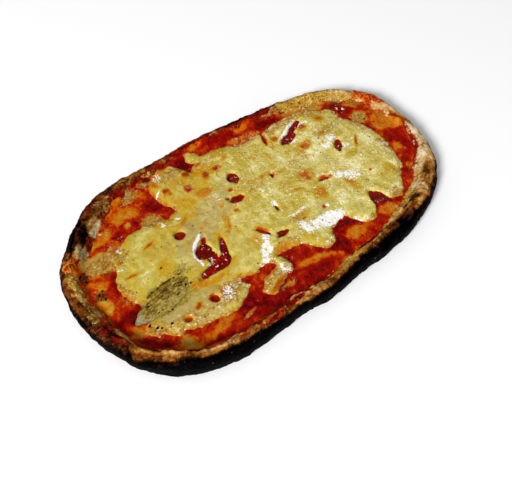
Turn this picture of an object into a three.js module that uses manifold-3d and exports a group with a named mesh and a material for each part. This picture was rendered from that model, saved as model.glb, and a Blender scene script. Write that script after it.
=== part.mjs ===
// A whole baked margherita pizza, hand stretched to a long oval: a dough crust with a raised rim,
// a thin layer of tomato sauce, one melted sheet of mozzarella with gaps in it, and one basil leaf.
// Millimetres, +Z up. The origin is the middle of the flat underside, and +X runs along the oval.
import * as THREE from "three";
import { mergeVertices } from "three/addons/utils/BufferGeometryUtils.js";
import Module from "manifold-3d";

const wasm = await Module();
wasm.setup();

// The plan outline: a squared oval with a few long waves from the stretching.
const HALF_LENGTH = 171;
const HALF_WIDTH = 97.5;
const SQUARENESS = 2.8;
const EDGE_WAVES = [
  { turns: 1, reach: 2.3, heading: 64 },
  { turns: 2, reach: 1.7, heading: -70 },
  { turns: 3, reach: 2.7, heading: 1 },
  { turns: 4, reach: 1.8, heading: 28 },
  { turns: 5, reach: 1.4, heading: 5 },
  { turns: 6, reach: 1.4, heading: 15 },
  { turns: 7, reach: 0.9, heading: 17 },
  { turns: 8, reach: 1.2, heading: -2 },
  { turns: 9, reach: 1.0, heading: 15 },
];
const EDGE_LUMPS = { size: 14, reach: 0.6, seed: 3 };
const EDGE_BLISTERS = { size: 9, reach: 0.5, seed: 4 };

// The rim at headings round the pizza, in degrees: how high its crest stands, how far in from the
// edge the crest lies, how wide the rim is, and how far in the sauce begins.
const RIM_STATIONS = [
  { heading: -180, height: 17.0, crest: 8.5, width: 20, sauce: 17 },
  { heading: -150, height: 21.0, crest: 9.0, width: 21, sauce: 16 },
  { heading: -120, height: 19.0, crest: 8.5, width: 18, sauce: 13 },
  { heading: -90, height: 17.5, crest: 8.0, width: 17, sauce: 13 },
  { heading: -60, height: 18.0, crest: 9.0, width: 20, sauce: 16 },
  { heading: -35, height: 18.5, crest: 10.0, width: 25, sauce: 21 },
  { heading: -15, height: 16.0, crest: 7.0, width: 18, sauce: 12 },
  { heading: 0, height: 14.5, crest: 5.5, width: 15, sauce: 8.5 },
  { heading: 32, height: 15.0, crest: 6.5, width: 17, sauce: 13 },
  { heading: 60, height: 14.0, crest: 6.0, width: 16, sauce: 8.5 },
  { heading: 90, height: 13.5, crest: 6.0, width: 16, sauce: 7.5 },
  { heading: 120, height: 15.5, crest: 8.0, width: 19, sauce: 14 },
  { heading: 150, height: 17.5, crest: 9.0, width: 22, sauce: 19 },
];
const FOOT_INSET = 6.5;
const BULGE_HEIGHT = 8.5;
const BASE_HEIGHT = 8;
const RIM_LUMPS = { size: 18, rise: 1.7, seed: 11 };
const RIM_BLISTERS = { size: 8, rise: 0.8, seed: 12 };
const BASE_WAVES = { size: 34, rise: 0.5, seed: 13 };
const SHOULDER_POWER = 2.2;

const SAUCE = { edge: 0.9, full: 1.9, round: 5, ragged: 2.0, patch: 12, seed: 21 };
const SAUCE_UNDER_CHEESE = 1.5;
const CHEESE = { edge: 1.1, full: 2.7, round: 5, ragged: 1.5, patch: 8.5, seed: 31 };
const CHEESE_WAVES = { size: 23, rise: 0.55, seed: 32 };
const CHEESE_BUBBLES = { size: 9, rise: 0.3, seed: 33 };
const MELT_TOGETHER = 2.2;
const GAP = 0.3;

// Where mozzarella melted into one sheet: ovals by centre, half lengths and turn in degrees.
const MELT_LOBES = [
  { x: -92, y: 10, long: 37, wide: 39, turn: 0 },
  { x: -95, y: -15, long: 25, wide: 19, turn: 0 },
  { x: -94, y: -40, long: 39, wide: 16, turn: -9 },
  { x: -73, y: -46, long: 15, wide: 14, turn: 0 },
  { x: -64, y: 28, long: 24, wide: 14, turn: 5 },
  { x: -40, y: -10, long: 44, wide: 34, turn: 0 },
  { x: -25, y: 32, long: 33, wide: 21, turn: 0 },
  { x: -34, y: 65, long: 21, wide: 24, turn: 0 },
  { x: 8, y: 55, long: 34, wide: 24, turn: 0 },
  { x: -5, y: 83, long: 6.5, wide: 6, turn: 0 },
  { x: 50, y: 45, long: 30, wide: 22, turn: 0 },
  { x: 83, y: 40, long: 48, wide: 28, turn: 0 },
  { x: 94, y: 0, long: 46.5, wide: 50, turn: 0 },
  { x: 104, y: -27, long: 29, wide: 27, turn: 0 },
  { x: 30, y: -5, long: 85, wide: 46.5, turn: 0 },
  { x: 99, y: -38, long: 16, wide: 26, turn: 0 },
  { x: 62, y: -42, long: 14.5, wide: 26, turn: 0 },
  { x: 20, y: -42, long: 13.5, wide: 23, turn: 0 },
  { x: -36, y: -59, long: 17, wide: 6.5, turn: 20 },
  { x: -22, y: -52, long: 4.5, wide: 9, turn: 0 },
];

// Gaps in the sheet that show the sauce.
const MELT_GAPS = [
  { x: -59, y: -4, long: 7, wide: 5, turn: 30 },
  { x: -57, y: -12, long: 10, wide: 4.2, turn: 90 },
  { x: -62, y: -22, long: 15, wide: 3.8, turn: 7 },
  { x: -47, y: -12, long: 9, wide: 2.4, turn: 62 },
  { x: -65, y: 20.5, long: 4.4, wide: 4.2, turn: 0 },
  { x: 5.5, y: 40, long: 6.5, wide: 5, turn: 70 },
  { x: -6.5, y: 21, long: 6.5, wide: 3.6, turn: -5 },
  { x: 73, y: 45.5, long: 10, wide: 4.8, turn: 12 },
  { x: 86, y: 52.5, long: 13, wide: 3, turn: 24 },
  { x: 102, y: 10.5, long: 7.5, wide: 3.3, turn: 48 },
  { x: -13, y: -18.5, long: 6.5, wide: 1.9, turn: -62 },
  { x: -2, y: -31, long: 6.5, wide: 2.6, turn: 0 },
  { x: -80, y: -43, long: 3.4, wide: 3.2, turn: 0 },
];

// The leaf lies in a shallow bed in the cheese, its tip towards the heading of turn. Its sides rise
// from the midrib by the crease, and ripples run across it.
const LEAF = { x: -111, y: -19, long: 26, wide: 11, turn: 187, thick: 0.9, bed: 0.8 };
const LEAF_SHAPE = { clearance: 0.5, crease: 0.9, ripple: 0.25, waves: 5.5, slant: 0.35 };
const LEAF_OUTLINE = { roundness: 0.62, taper: 0.22 };
const LEAF_ROWS = 14;
const LEAF_COLUMNS = 6;

const CRUST_SEGMENTS = 132;
const SLOPE_RINGS = 4;
const SHOULDER_RINGS = 3;
const WALL_RINGS = 3;
const SHEET_STEP = 6.4;

const degrees = THREE.MathUtils.degToRad;
const smooth = (t) => THREE.MathUtils.smoothstep(t, 0, 1);
const fraction = (t) => t - Math.floor(t);

// Smooth random relief from -1 to 1, whose bumps are about `size` across: random heights on a
// square lattice, eased from one to the next.
function relief(x, y, { size, seed }) {
  const i = Math.floor(x / size);
  const j = Math.floor(y / size);
  const u = smooth(x / size - i);
  const v = smooth(y / size - j);
  const height = (p, q) =>
    2 * fraction(Math.sin(127.1 * p + 311.7 * q + 74.7 * seed) * 43758.5453) - 1;
  const near = height(i, j) * (1 - u) + height(i + 1, j) * u;
  const far = height(i, j + 1) * (1 - u) + height(i + 1, j + 1) * u;
  return near * (1 - v) + far * v;
}

// Distance from the origin to the pizza's edge at an angle.
function edgeRadius(angle) {
  const c = Math.cos(angle);
  const s = Math.sin(angle);
  const oval =
    (Math.abs(c / HALF_LENGTH) ** SQUARENESS + Math.abs(s / HALF_WIDTH) ** SQUARENESS) **
    (-1 / SQUARENESS);
  const waves = EDGE_WAVES.reduce(
    (sum, w) => sum + w.reach * Math.cos(w.turns * (angle - degrees(w.heading))),
    0,
  );
  const lumps =
    EDGE_LUMPS.reach * relief(oval * c, oval * s, EDGE_LUMPS) +
    EDGE_BLISTERS.reach * relief(oval * c, oval * s, EDGE_BLISTERS);
  return oval + waves + lumps;
}

// The share of a radial step that counts as distance from the edge, which the edge's slant lessens.
function edgeSlant(angle) {
  const step = 0.03;
  const slope = (edgeRadius(angle + step) - edgeRadius(angle - step)) / (2 * step);
  const radius = edgeRadius(angle);
  return radius / Math.hypot(radius, slope);
}

// The rim's sizes at an angle, eased between the two stations beside it.
function rimAt(angle) {
  const heading = THREE.MathUtils.euclideanModulo(THREE.MathUtils.radToDeg(angle) + 180, 360) - 180;
  const after = RIM_STATIONS.findIndex((s) => s.heading > heading);
  const b = after < 0 ? { ...RIM_STATIONS[0], heading: 180 } : RIM_STATIONS[after];
  const a = RIM_STATIONS[after < 0 ? RIM_STATIONS.length - 1 : after - 1];
  const t = smooth((heading - a.heading) / (b.heading - a.heading));
  const between = (key) => a[key] + (b[key] - a[key]) * t;
  return {
    height: between("height"),
    crest: between("crest"),
    width: between("width"),
    sauce: between("sauce"),
  };
}

// How far in from the edge a point of the plan lies, with its angle.
function insetAt(x, y) {
  const angle = Math.atan2(y, x);
  return { angle, inset: (edgeRadius(angle) - Math.hypot(x, y)) * edgeSlant(angle) };
}

// Height of the dough's upper side: a rounded shoulder up to the crest, a soft slope down from it,
// and the flat base inside the rim.
function doughTop(x, y) {
  const { angle, inset } = insetAt(x, y);
  const rim = rimAt(angle);
  const base = BASE_HEIGHT + BASE_WAVES.rise * relief(x, y, BASE_WAVES);
  const lumps =
    RIM_LUMPS.rise * relief(x, y, RIM_LUMPS) + RIM_BLISTERS.rise * relief(x, y, RIM_BLISTERS);
  const crest = rim.height + lumps;
  if (inset < rim.crest) {
    const out = 1 - Math.max(inset, 0) / rim.crest;
    const rise = (1 - out ** SHOULDER_POWER) ** (1 / SHOULDER_POWER);
    return BULGE_HEIGHT + (crest - BULGE_HEIGHT) * rise;
  }
  const down = Math.min((inset - rim.crest) / (rim.width - rim.crest), 1);
  return base + (crest - base) * (0.5 + 0.5 * Math.cos(Math.PI * down));
}

// Above 0 inside an oval, as the distance in from its edge along its short half.
function ovalField(x, y, oval) {
  const c = Math.cos(degrees(oval.turn));
  const s = Math.sin(degrees(oval.turn));
  const u = ((x - oval.x) * c + (y - oval.y) * s) / oval.long;
  const v = ((y - oval.y) * c - (x - oval.x) * s) / oval.wide;
  return (1 - Math.hypot(u, v)) * oval.wide;
}

// Above 0 where the melted sheet lies: the lobes run together, less the gaps.
function cheeseField(x, y) {
  const ragged = CHEESE.ragged * relief(x, y, { size: CHEESE.patch, seed: CHEESE.seed });
  const together = MELT_LOBES.reduce(
    (sum, lobe) => sum + Math.exp(ovalField(x, y, lobe) / MELT_TOGETHER),
    0,
  );
  const sheet = MELT_TOGETHER * Math.log(together) + ragged;
  const gaps = MELT_GAPS.map((gap) => -ovalField(x, y, gap) + 0.2 * ragged);
  return Math.min(sheet, ...gaps);
}

// Above 0 where the sauce lies: about the distance to its ragged edge. It reaches under the cheese
// wherever that has run on past it.
function sauceField(x, y) {
  const { angle, inset } = insetAt(x, y);
  const ragged = SAUCE.ragged * relief(x, y, { size: SAUCE.patch, seed: SAUCE.seed });
  return Math.max(inset - rimAt(angle).sauce + ragged, cheeseField(x, y) - SAUCE_UNDER_CHEESE);
}

function sauceTop(x, y) {
  const full = smooth(sauceField(x, y) / SAUCE.round);
  return doughTop(x, y) + GAP + SAUCE.edge + (SAUCE.full - SAUCE.edge) * full;
}

// Where a plan point lies on the leaf: u from -1 at the stalk to 1 at the tip, v across in mm.
function leafPlace(x, y) {
  const c = Math.cos(degrees(LEAF.turn));
  const s = Math.sin(degrees(LEAF.turn));
  return {
    u: ((x - LEAF.x) * c + (y - LEAF.y) * s) / LEAF.long,
    v: (y - LEAF.y) * c - (x - LEAF.x) * s,
  };
}

// Half the leaf's width at u: widest before the middle and drawn out to the tip.
function leafHalfWidth(u) {
  const round = Math.max(0, 1 - u * u) ** LEAF_OUTLINE.roundness;
  return LEAF.wide * round * (1 - LEAF_OUTLINE.taper * u);
}

// How deep the leaf has sunk into the cheese: its bed reaches a little past its edge.
function leafBed(x, y) {
  const margin = 2;
  const { u, v } = leafPlace(x, y);
  const along = smooth(((1 - Math.abs(u)) * LEAF.long + margin) / (2 * margin));
  const across = smooth((leafHalfWidth(u) + margin - Math.abs(v)) / (2 * margin));
  return LEAF.bed * along * across;
}

function cheeseTop(x, y) {
  const full = smooth(cheeseField(x, y) / CHEESE.round);
  const thick = CHEESE.edge + (CHEESE.full - CHEESE.edge) * full;
  const bumps =
    CHEESE_WAVES.rise * relief(x, y, CHEESE_WAVES) + CHEESE_BUBBLES.rise * relief(x, y, CHEESE_BUBBLES);
  return sauceTop(x, y) + GAP + thick + full * bumps - leafBed(x, y);
}

function meshGeometry(points, faces) {
  const geometry = new THREE.BufferGeometry();
  geometry.setAttribute("position", new THREE.Float32BufferAttribute(points.flat(), 3));
  geometry.setIndex(faces.flat());
  return geometry;
}

// A closed slab over the part of the plan where field > 0, between two height functions. Every slab
// has the same square lattice, split into triangles, so slabs that share a height function lie face
// to face. Triangles that cross the field's edge are cut on it.
function slab({ field, under, over }) {
  const columns = Math.ceil(HALF_LENGTH / SHEET_STEP) + 2;
  const rows = Math.ceil(HALF_WIDTH / SHEET_STEP) + 3;
  const corners = new Map();
  const corner = (i, j) => {
    const key = `${i},${j}`;
    if (!corners.has(key)) {
      const x = i * SHEET_STEP;
      const y = j * SHEET_STEP;
      corners.set(key, { key, x, y, level: field(x, y), low: under(x, y), high: over(x, y) });
    }
    return corners.get(key);
  };
  const points = [];
  const faces = [];
  const placed = new Map();
  const put = ({ key, x, y, low, high }) => {
    if (!placed.has(key)) {
      placed.set(key, points.length);
      points.push([x, y, high], [x, y, low]);
    }
    return placed.get(key);
  };
  const cut = (a, b) => {
    const [from, to] = a.key < b.key ? [a, b] : [b, a];
    const t = THREE.MathUtils.clamp(from.level / (from.level - to.level), 0.15, 0.85);
    const between = (name) => from[name] + (to[name] - from[name]) * t;
    return put({
      key: `${from.key}|${to.key}`,
      x: between("x"),
      y: between("y"),
      low: between("low"),
      high: between("high"),
    });
  };
  const addTriangle = (triangle) => {
    const kept = [];
    let leaves = null;
    let enters = null;
    triangle.forEach((a, n) => {
      const b = triangle[(n + 1) % 3];
      if (a.level > 0) kept.push(put(a));
      if (a.level > 0 && b.level <= 0) kept.push((leaves = cut(a, b)));
      if (a.level <= 0 && b.level > 0) kept.push((enters = cut(a, b)));
    });
    for (let n = 2; n < kept.length; n++) {
      const [p, q, r] = [kept[0], kept[n - 1], kept[n]];
      faces.push([p, q, r], [p + 1, r + 1, q + 1]);
    }
    if (leaves !== null) {
      faces.push([enters, leaves, leaves + 1], [enters, leaves + 1, enters + 1]);
    }
  };
  for (let i = -columns; i < columns; i++) {
    for (let j = -rows; j < rows; j++) {
      const [a, b, c, d] = [corner(i, j), corner(i + 1, j), corner(i + 1, j + 1), corner(i, j + 1)];
      const halves = (i + j) % 2 ? [[a, b, c], [a, c, d]] : [[a, b, d], [b, c, d]];
      halves.forEach(addTriangle);
    }
  }
  return meshGeometry(points, faces);
}

// The crust: rings of points from the middle of the underside, out round the edge, over the rim
// and in to the middle of the top.
function crustGeometry() {
  const count = (n) => Array.from({ length: n }, (_, k) => k);
  const flat = (share) => (angle) => {
    const foot = edgeRadius(angle) - FOOT_INSET / edgeSlant(angle);
    return [foot * share, 0];
  };
  const wall = (share) => (angle) => {
    const turn = (Math.PI / 2) * share;
    const inset = FOOT_INSET * (1 - Math.sin(turn));
    return [edgeRadius(angle) - inset / edgeSlant(angle), BULGE_HEIGHT * (1 - Math.cos(turn))];
  };
  const upper = (insetOf) => (angle) => {
    const radius = edgeRadius(angle) - insetOf(rimAt(angle)) / edgeSlant(angle);
    return [radius, doughTop(radius * Math.cos(angle), radius * Math.sin(angle))];
  };
  const inner = (share) => (angle) => {
    const rim = rimAt(angle);
    const radius = (edgeRadius(angle) - rim.width / edgeSlant(angle)) * share;
    return [radius, doughTop(radius * Math.cos(angle), radius * Math.sin(angle))];
  };
  const rings = [flat(0.5), flat(1)];
  for (const k of count(WALL_RINGS)) rings.push(wall((k + 1) / WALL_RINGS));
  for (const k of count(SHOULDER_RINGS)) {
    const out = Math.cos(((Math.PI / 2) * (k + 1)) / SHOULDER_RINGS);
    rings.push(upper((rim) => rim.crest * (1 - out)));
  }
  for (const k of count(SLOPE_RINGS)) {
    rings.push(upper((rim) => rim.crest + ((rim.width - rim.crest) * (k + 1)) / SLOPE_RINGS));
  }
  rings.push(inner(0.6));

  const points = [[0, 0, 0]];
  for (const ring of rings) {
    for (const k of count(CRUST_SEGMENTS)) {
      const angle = (2 * Math.PI * k) / CRUST_SEGMENTS;
      const [radius, z] = ring(angle);
      points.push([radius * Math.cos(angle), radius * Math.sin(angle), z]);
    }
  }
  points.push([0, 0, doughTop(0, 0)]);

  const faces = [];
  const last = points.length - 1;
  for (const k of count(CRUST_SEGMENTS)) {
    const next = (k + 1) % CRUST_SEGMENTS;
    faces.push([0, 1 + next, 1 + k]);
    for (const r of count(rings.length - 1)) {
      const a = 1 + r * CRUST_SEGMENTS;
      const b = a + CRUST_SEGMENTS;
      faces.push([a + k, a + next, b + next], [a + k, b + next, b + k]);
    }
    const top = 1 + (rings.length - 1) * CRUST_SEGMENTS;
    faces.push([last, top + k, top + next]);
  }
  return meshGeometry(points, faces);
}

// The leaf: rows from stalk to tip and columns across, the same on both faces, joined round the edge.
function leafGeometry() {
  const c = Math.cos(degrees(LEAF.turn));
  const s = Math.sin(degrees(LEAF.turn));
  const points = [];
  const place = (u, v) => {
    const x = LEAF.x + u * LEAF.long * c - v * s;
    const y = LEAF.y + u * LEAF.long * s + v * c;
    const crease = (LEAF_SHAPE.crease * Math.abs(v)) / LEAF.wide;
    const ripple = LEAF_SHAPE.ripple * (1 + Math.sin(LEAF_SHAPE.waves * u + LEAF_SHAPE.slant * v));
    const z = cheeseTop(x, y) + LEAF_SHAPE.clearance + crease + ripple;
    points.push([x, y, z + LEAF.thick], [x, y, z]);
    return points.length - 2;
  };
  const grid = [];
  for (let r = 0; r <= LEAF_ROWS; r++) {
    const u = -Math.cos((Math.PI * r) / LEAF_ROWS);
    const isPoint = r === 0 || r === LEAF_ROWS;
    const row = [];
    for (let k = 0; k <= LEAF_COLUMNS; k++) {
      const v = leafHalfWidth(u) * ((2 * k) / LEAF_COLUMNS - 1);
      row.push(isPoint && k > 0 ? row[0] : place(u, v));
    }
    grid.push(row);
  }
  const faces = [];
  const both = (p, q, r) => {
    if (p !== q && q !== r && p !== r) faces.push([p, q, r], [p + 1, r + 1, q + 1]);
  };
  const side = (p, q) => faces.push([q, p, p + 1], [q, p + 1, q + 1]);
  for (let r = 0; r < LEAF_ROWS; r++) {
    for (let k = 0; k < LEAF_COLUMNS; k++) {
      both(grid[r][k], grid[r + 1][k], grid[r + 1][k + 1]);
      both(grid[r][k], grid[r + 1][k + 1], grid[r][k + 1]);
    }
    side(grid[r][0], grid[r + 1][0]);
    side(grid[r + 1][LEAF_COLUMNS], grid[r][LEAF_COLUMNS]);
  }
  return meshGeometry(points, faces);
}

function toSolid(geometry) {
  const merged = mergeVertices(geometry, 1e-4);
  return new wasm.Manifold(
    new wasm.Mesh({
      numProp: 3,
      vertProperties: merged.attributes.position.array,
      triVerts: new Uint32Array(merged.index.array),
    }),
  );
}

// The largest of a solid's separate pieces, as a geometry.
function toGeometry(solid) {
  const largest = solid.decompose().reduce((a, b) => (a.volume() > b.volume() ? a : b));
  const { vertProperties, triVerts } = largest.getMesh();
  const geometry = new THREE.BufferGeometry();
  geometry.setAttribute("position", new THREE.BufferAttribute(vertProperties, 3));
  geometry.setIndex(new THREE.BufferAttribute(triVerts, 1));
  return geometry;
}

const insideDough = () => BASE_HEIGHT / 2;
const aboveSauce = (x, y) => sauceTop(x, y) + GAP;
const dough = crustGeometry();
const raisedDough = toSolid(dough.clone().translate(0, 0, GAP));
const sauceBlock = slab({ field: sauceField, under: insideDough, over: sauceTop });
const sauce = toSolid(sauceBlock).subtract(raisedDough);
const cheeseBlock = slab({ field: cheeseField, under: aboveSauce, over: cheeseTop });
const cheese = toSolid(cheeseBlock).subtract(raisedDough);

const doughFinish = new THREE.MeshStandardMaterial({ color: 0xa8753a, roughness: 0.85, metalness: 0 });
const sauceFinish = new THREE.MeshStandardMaterial({ color: 0xa11a08, roughness: 0.3, metalness: 0 });
const cheeseFinish = new THREE.MeshStandardMaterial({ color: 0xd6bf66, roughness: 0.3, metalness: 0 });
const leafFinish = new THREE.MeshStandardMaterial({ color: 0x5f5a1c, roughness: 0.55, metalness: 0 });

function node(name, geometry, material) {
  const mesh = new THREE.Mesh(geometry, material);
  mesh.name = name;
  return mesh;
}

const pizza = new THREE.Group();
pizza.add(
  node("crust", dough, doughFinish),
  node("tomato_sauce", toGeometry(sauce), sauceFinish),
  node("mozzarella", toGeometry(cheese), cheeseFinish),
  node("basil_leaf", leafGeometry(), leafFinish),
);

export default pizza;
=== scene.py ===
import bpy
import numpy as np
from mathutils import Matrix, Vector


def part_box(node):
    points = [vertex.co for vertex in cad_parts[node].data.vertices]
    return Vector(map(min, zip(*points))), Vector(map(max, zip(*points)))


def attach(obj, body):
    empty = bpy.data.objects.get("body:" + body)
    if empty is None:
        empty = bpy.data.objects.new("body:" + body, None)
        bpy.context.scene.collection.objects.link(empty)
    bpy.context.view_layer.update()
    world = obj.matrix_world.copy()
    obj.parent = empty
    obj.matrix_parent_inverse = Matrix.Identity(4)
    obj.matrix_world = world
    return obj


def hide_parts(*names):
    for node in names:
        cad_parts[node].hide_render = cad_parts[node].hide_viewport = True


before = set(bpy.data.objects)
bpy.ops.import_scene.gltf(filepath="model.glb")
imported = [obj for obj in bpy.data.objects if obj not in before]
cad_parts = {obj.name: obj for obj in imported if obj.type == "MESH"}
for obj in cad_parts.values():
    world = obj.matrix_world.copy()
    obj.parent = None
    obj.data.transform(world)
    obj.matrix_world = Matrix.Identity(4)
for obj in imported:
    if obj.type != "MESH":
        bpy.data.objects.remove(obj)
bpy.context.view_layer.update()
crustLow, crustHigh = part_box("crust")
mm = 0.001  # shapes are worked out in millimetres and put into meshes in metres

studio = {
    "level": 1.08,  # how much brighter than its own colour a level matt surface looks
    "floorSize": 12, "floorDrop": 0.05,  # metres across, and millimetres below the underside
    "floor": {"Base Color": (1, 1, 1, 1), "Roughness": 0.9, "Specular IOR Level": 0.1},
    "skyStrength": 0.4,
    "key": {"from": (-3.25, -1.2, 2.15), "aim": (0, 0, 0), "size": 1.1, "power": 209},
    "glint": {"from": (0.62, 0.72, 1.25), "aim": (0.03, -0.03, 0), "size": (0.2, 0.085), "power": 1.2},
}


# --- noise and easing ---

scatter = {  # large uneven steps, so that neighbouring cells look unrelated
    "alongX": 127.1, "alongY": 311.7, "alongZ": 74.7, "perSeed": 53.3, "perAxis": 19.1, "scale": 43758.5453,
    "lumpReach": 1.5, "layers": 3, "layerSeeds": 7, "layerTotal": 1.4,
}


def ease(t):
    # From 0 to 1 and level at both ends: three times the square less twice the cube.
    t = np.clip(t, 0, 1)
    return t * t * (3 - 2 * t)


def rise(value, start, reach):
    # 0 up to the start, and eased up to 1 over the reach past it.
    return ease((value - start) / reach)


def scattered(phase):
    # A number from -1 to 1 that looks random: what a large sine has past its whole part.
    wave = np.sin(phase) * scatter["scale"]
    return 2 * (wave - np.floor(wave)) - 1


def relief(x, y, size, seed):
    # Random heights from -1 to 1 on a square lattice, eased from one to the next.
    i, j = np.floor(x / size), np.floor(y / size)
    u, v = ease(x / size - i), ease(y / size - j)

    def height(p, q):
        return scattered(scatter["alongX"] * p + scatter["alongY"] * q + scatter["alongZ"] * seed)

    near = height(i, j) * (1 - u) + height(i + 1, j) * u
    far = height(i, j + 1) * (1 - u) + height(i + 1, j + 1) * u
    return near * (1 - v) + far * v


def lumps(x, y, z, size, seed):
    # Gradient noise from about -1 to 1: every lattice corner has a random slope, and the
    # slopes of the eight corners round a point are eased together.
    p = [np.asarray(c, float) / size for c in (x, y, z)]
    cell = [np.floor(c) for c in p]
    part = [c - f for c, f in zip(p, cell)]
    soft = [c ** 3 * (c * (c * 6 - 15) + 10) for c in part]
    strides = [scatter[name] for name in ("alongX", "alongY", "alongZ")]
    total = 0
    for corner in np.ndindex(2, 2, 2):
        at = sum((f + k) * stride for f, k, stride in zip(cell, corner, strides))
        at = at + seed * scatter["perSeed"]
        dot, weight = 0, 1
        for axis in range(3):
            dot = dot + scattered(at + axis * scatter["perAxis"]) * (part[axis] - corner[axis])
            weight = weight * (soft[axis] if corner[axis] else 1 - soft[axis])
        total = total + dot * weight
    return scatter["lumpReach"] * total


def rough(x, y, z, size, seed):
    # Noise summed over ever finer layers, each half as strong.
    layers = range(scatter["layers"])
    total = sum(lumps(x, y, z, size / 2 ** k, seed + scatter["layerSeeds"] * k) / 2 ** k for k in layers)
    return total / scatter["layerTotal"]


def summed(noise, place, layers):
    # Noises added up, each with a size, a reach and a seed.
    return sum(reach * noise(*place, size, seed) for size, reach, seed in layers)


# --- plan shapes: ovals, lines and their soft masks ---

brush = {
    "bend": 0.35,  # how far noise bends an oval's edge, as a share of the noise's size
    "least": 0.5,  # the softness of the sharpest edge
    "small": 0.25,  # how soon a small oval is bent less, for each millimetre of its half width
}


def turnedBy(x, y, turn):
    # A place in the plan, turned round the origin by degrees, anticlockwise.
    c, s = np.cos(np.radians(turn)), np.sin(np.radians(turn))
    return x * c - y * s, x * s + y * c


def ovalField(x, y, oval):
    # Above 0 inside, as the distance in from the edge along the short half.
    cx, cy, halfLong, halfWide, turn = oval[:5]
    u, v = turnedBy(x - cx, y - cy, -turn)
    return (1 - np.hypot(u / halfLong, v / halfWide)) * halfWide


def layered(x, y, level, spots, size=7, seed=50, softest=5, blur=0.6):
    # Starts from a level and paints soft-edged ovals over it, each with a level of its own. Noise
    # bends the plane first, so that no edge is a clean oval. Small ovals have sharper edges.
    bendX = brush["bend"] * size * rough(x, y, 0, size, seed)
    bendY = brush["bend"] * size * rough(x, y, 0, size, seed + 1)
    for spot in spots:
        halfWide, aim = spot[3], spot[5]
        soft = min(softest, brush["least"] + blur * halfWide)
        share = min(1, brush["small"] * halfWide)
        cover = ease(ovalField(x + share * bendX, y + share * bendY, spot) / soft + 0.5)
        level = level + (aim - level) * cover
    return level


def patches(x, y, spots, size=7, seed=50, softest=5, blur=0.6):
    # The ovals painted over nothing.
    return layered(x, y, np.zeros_like(x), spots, size, seed, softest, blur)


def pathDistance(x, y, path):
    # Distance to the nearest point of a line through the path's points.
    nearest = np.full_like(x, np.inf)
    for (ax, ay), (bx, by) in zip(path[:-1], path[1:]):
        dx, dy = bx - ax, by - ay
        t = np.clip(((x - ax) * dx + (y - ay) * dy) / (dx * dx + dy * dy), 0, 1)
        nearest = np.minimum(nearest, np.hypot(x - ax - t * dx, y - ay - t * dy))
    return nearest


# --- the pizza's plan: its edge and its rim ---

outline = {
    "halfLength": 171, "halfWidth": 97.5, "squareness": 2.8,
    "waves": [  # turns in a whole round, reach, heading of the crest
        (1, 2.3, 64), (2, 1.7, -70), (3, 2.7, 1), (4, 1.8, 28), (5, 1.4, 5), (6, 1.4, 15), (7, 0.9, 17),
        (8, 1.2, -2), (9, 1, 15),
    ],
    "noises": ((14, 0.6, 3), (9, 0.5, 4)),  # size, reach and seed of each
    "slantStep": 0.03,
}

rim = {
    # heading round the pizza: height of the crest, its inset, width of the rim, where sauce begins
    "stations": np.array([
        (-180, 17, 8.5, 20, 16.5), (-168, 18.4, 8.8, 20, 13), (-158, 20.2, 9, 20.5, 11.5),
        (-148, 21, 9, 21, 11.5), (-138, 20.2, 8.8, 20, 12), (-120, 19, 8.5, 18, 12),
        (-90, 17.5, 8, 17, 13.5), (-60, 18, 9, 20, 17.5), (-45, 18.3, 9.5, 23, 21),
        (-35, 18.5, 10, 25, 21), (-20, 16.5, 9, 23, 19.5), (-8, 15.5, 6.5, 17, 12),
        (-1, 14.5, 5.5, 15, 8), (7, 14.6, 5.7, 15.5, 13.5), (32, 15, 6.5, 17, 14), (60, 14, 6, 16, 8.5),
        (90, 13.5, 6, 16, 7.5), (120, 15.5, 8, 19, 14), (150, 17.5, 9, 22, 19.5),
        (158, 17.4, 8.9, 21.5, 19.5), (163, 17.3, 8.8, 21, 12), (172, 17.1, 8.6, 20.4, 13.5),
        (180, 17, 8.5, 20, 16.5),
    ]),
    "footInset": 6.5, "bulgeHeight": 8.5, "baseHeight": 8, "shoulderPower": 2.2,
    "crestNoises": ((18, 1.7, 11), (8, 0.8, 12)), "baseNoises": ((34, 0.5, 13),),
}


def edgeRadius(angle):
    # A squared oval with a few long waves and small lumps.
    c, s = np.cos(angle), np.sin(angle)
    n = outline["squareness"]
    oval = (np.abs(c / outline["halfLength"]) ** n + np.abs(s / outline["halfWidth"]) ** n) ** (-1 / n)
    radius = oval + summed(relief, (oval * c, oval * s), outline["noises"])
    for turns, reach, heading in outline["waves"]:
        radius += reach * np.cos(turns * (angle - np.radians(heading)))
    return radius


def edgeSlant(angle):
    # The share of a radial step that counts as distance from the edge.
    step = outline["slantStep"]
    slope = (edgeRadius(angle + step) - edgeRadius(angle - step)) / (2 * step)
    radius = edgeRadius(angle)
    return radius / np.hypot(radius, slope)


def rimAt(angle):
    # The rim's four sizes at an angle, eased between the stations beside it.
    heading = (np.degrees(angle) + 180) % 360 - 180
    table = rim["stations"]
    after = np.clip(np.searchsorted(table[:, 0], heading, side="right"), 1, len(table) - 1)
    a, b = table[after - 1], table[after]
    t = ease((heading - a[..., 0]) / (b[..., 0] - a[..., 0]))[..., None]
    return np.moveaxis((a + (b - a) * t)[..., 1:], -1, 0)


def insetAt(x, y):
    # The angle of a point and its distance in from the edge.
    angle = np.arctan2(y, x)
    return angle, (edgeRadius(angle) - np.hypot(x, y)) * edgeSlant(angle)


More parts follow.
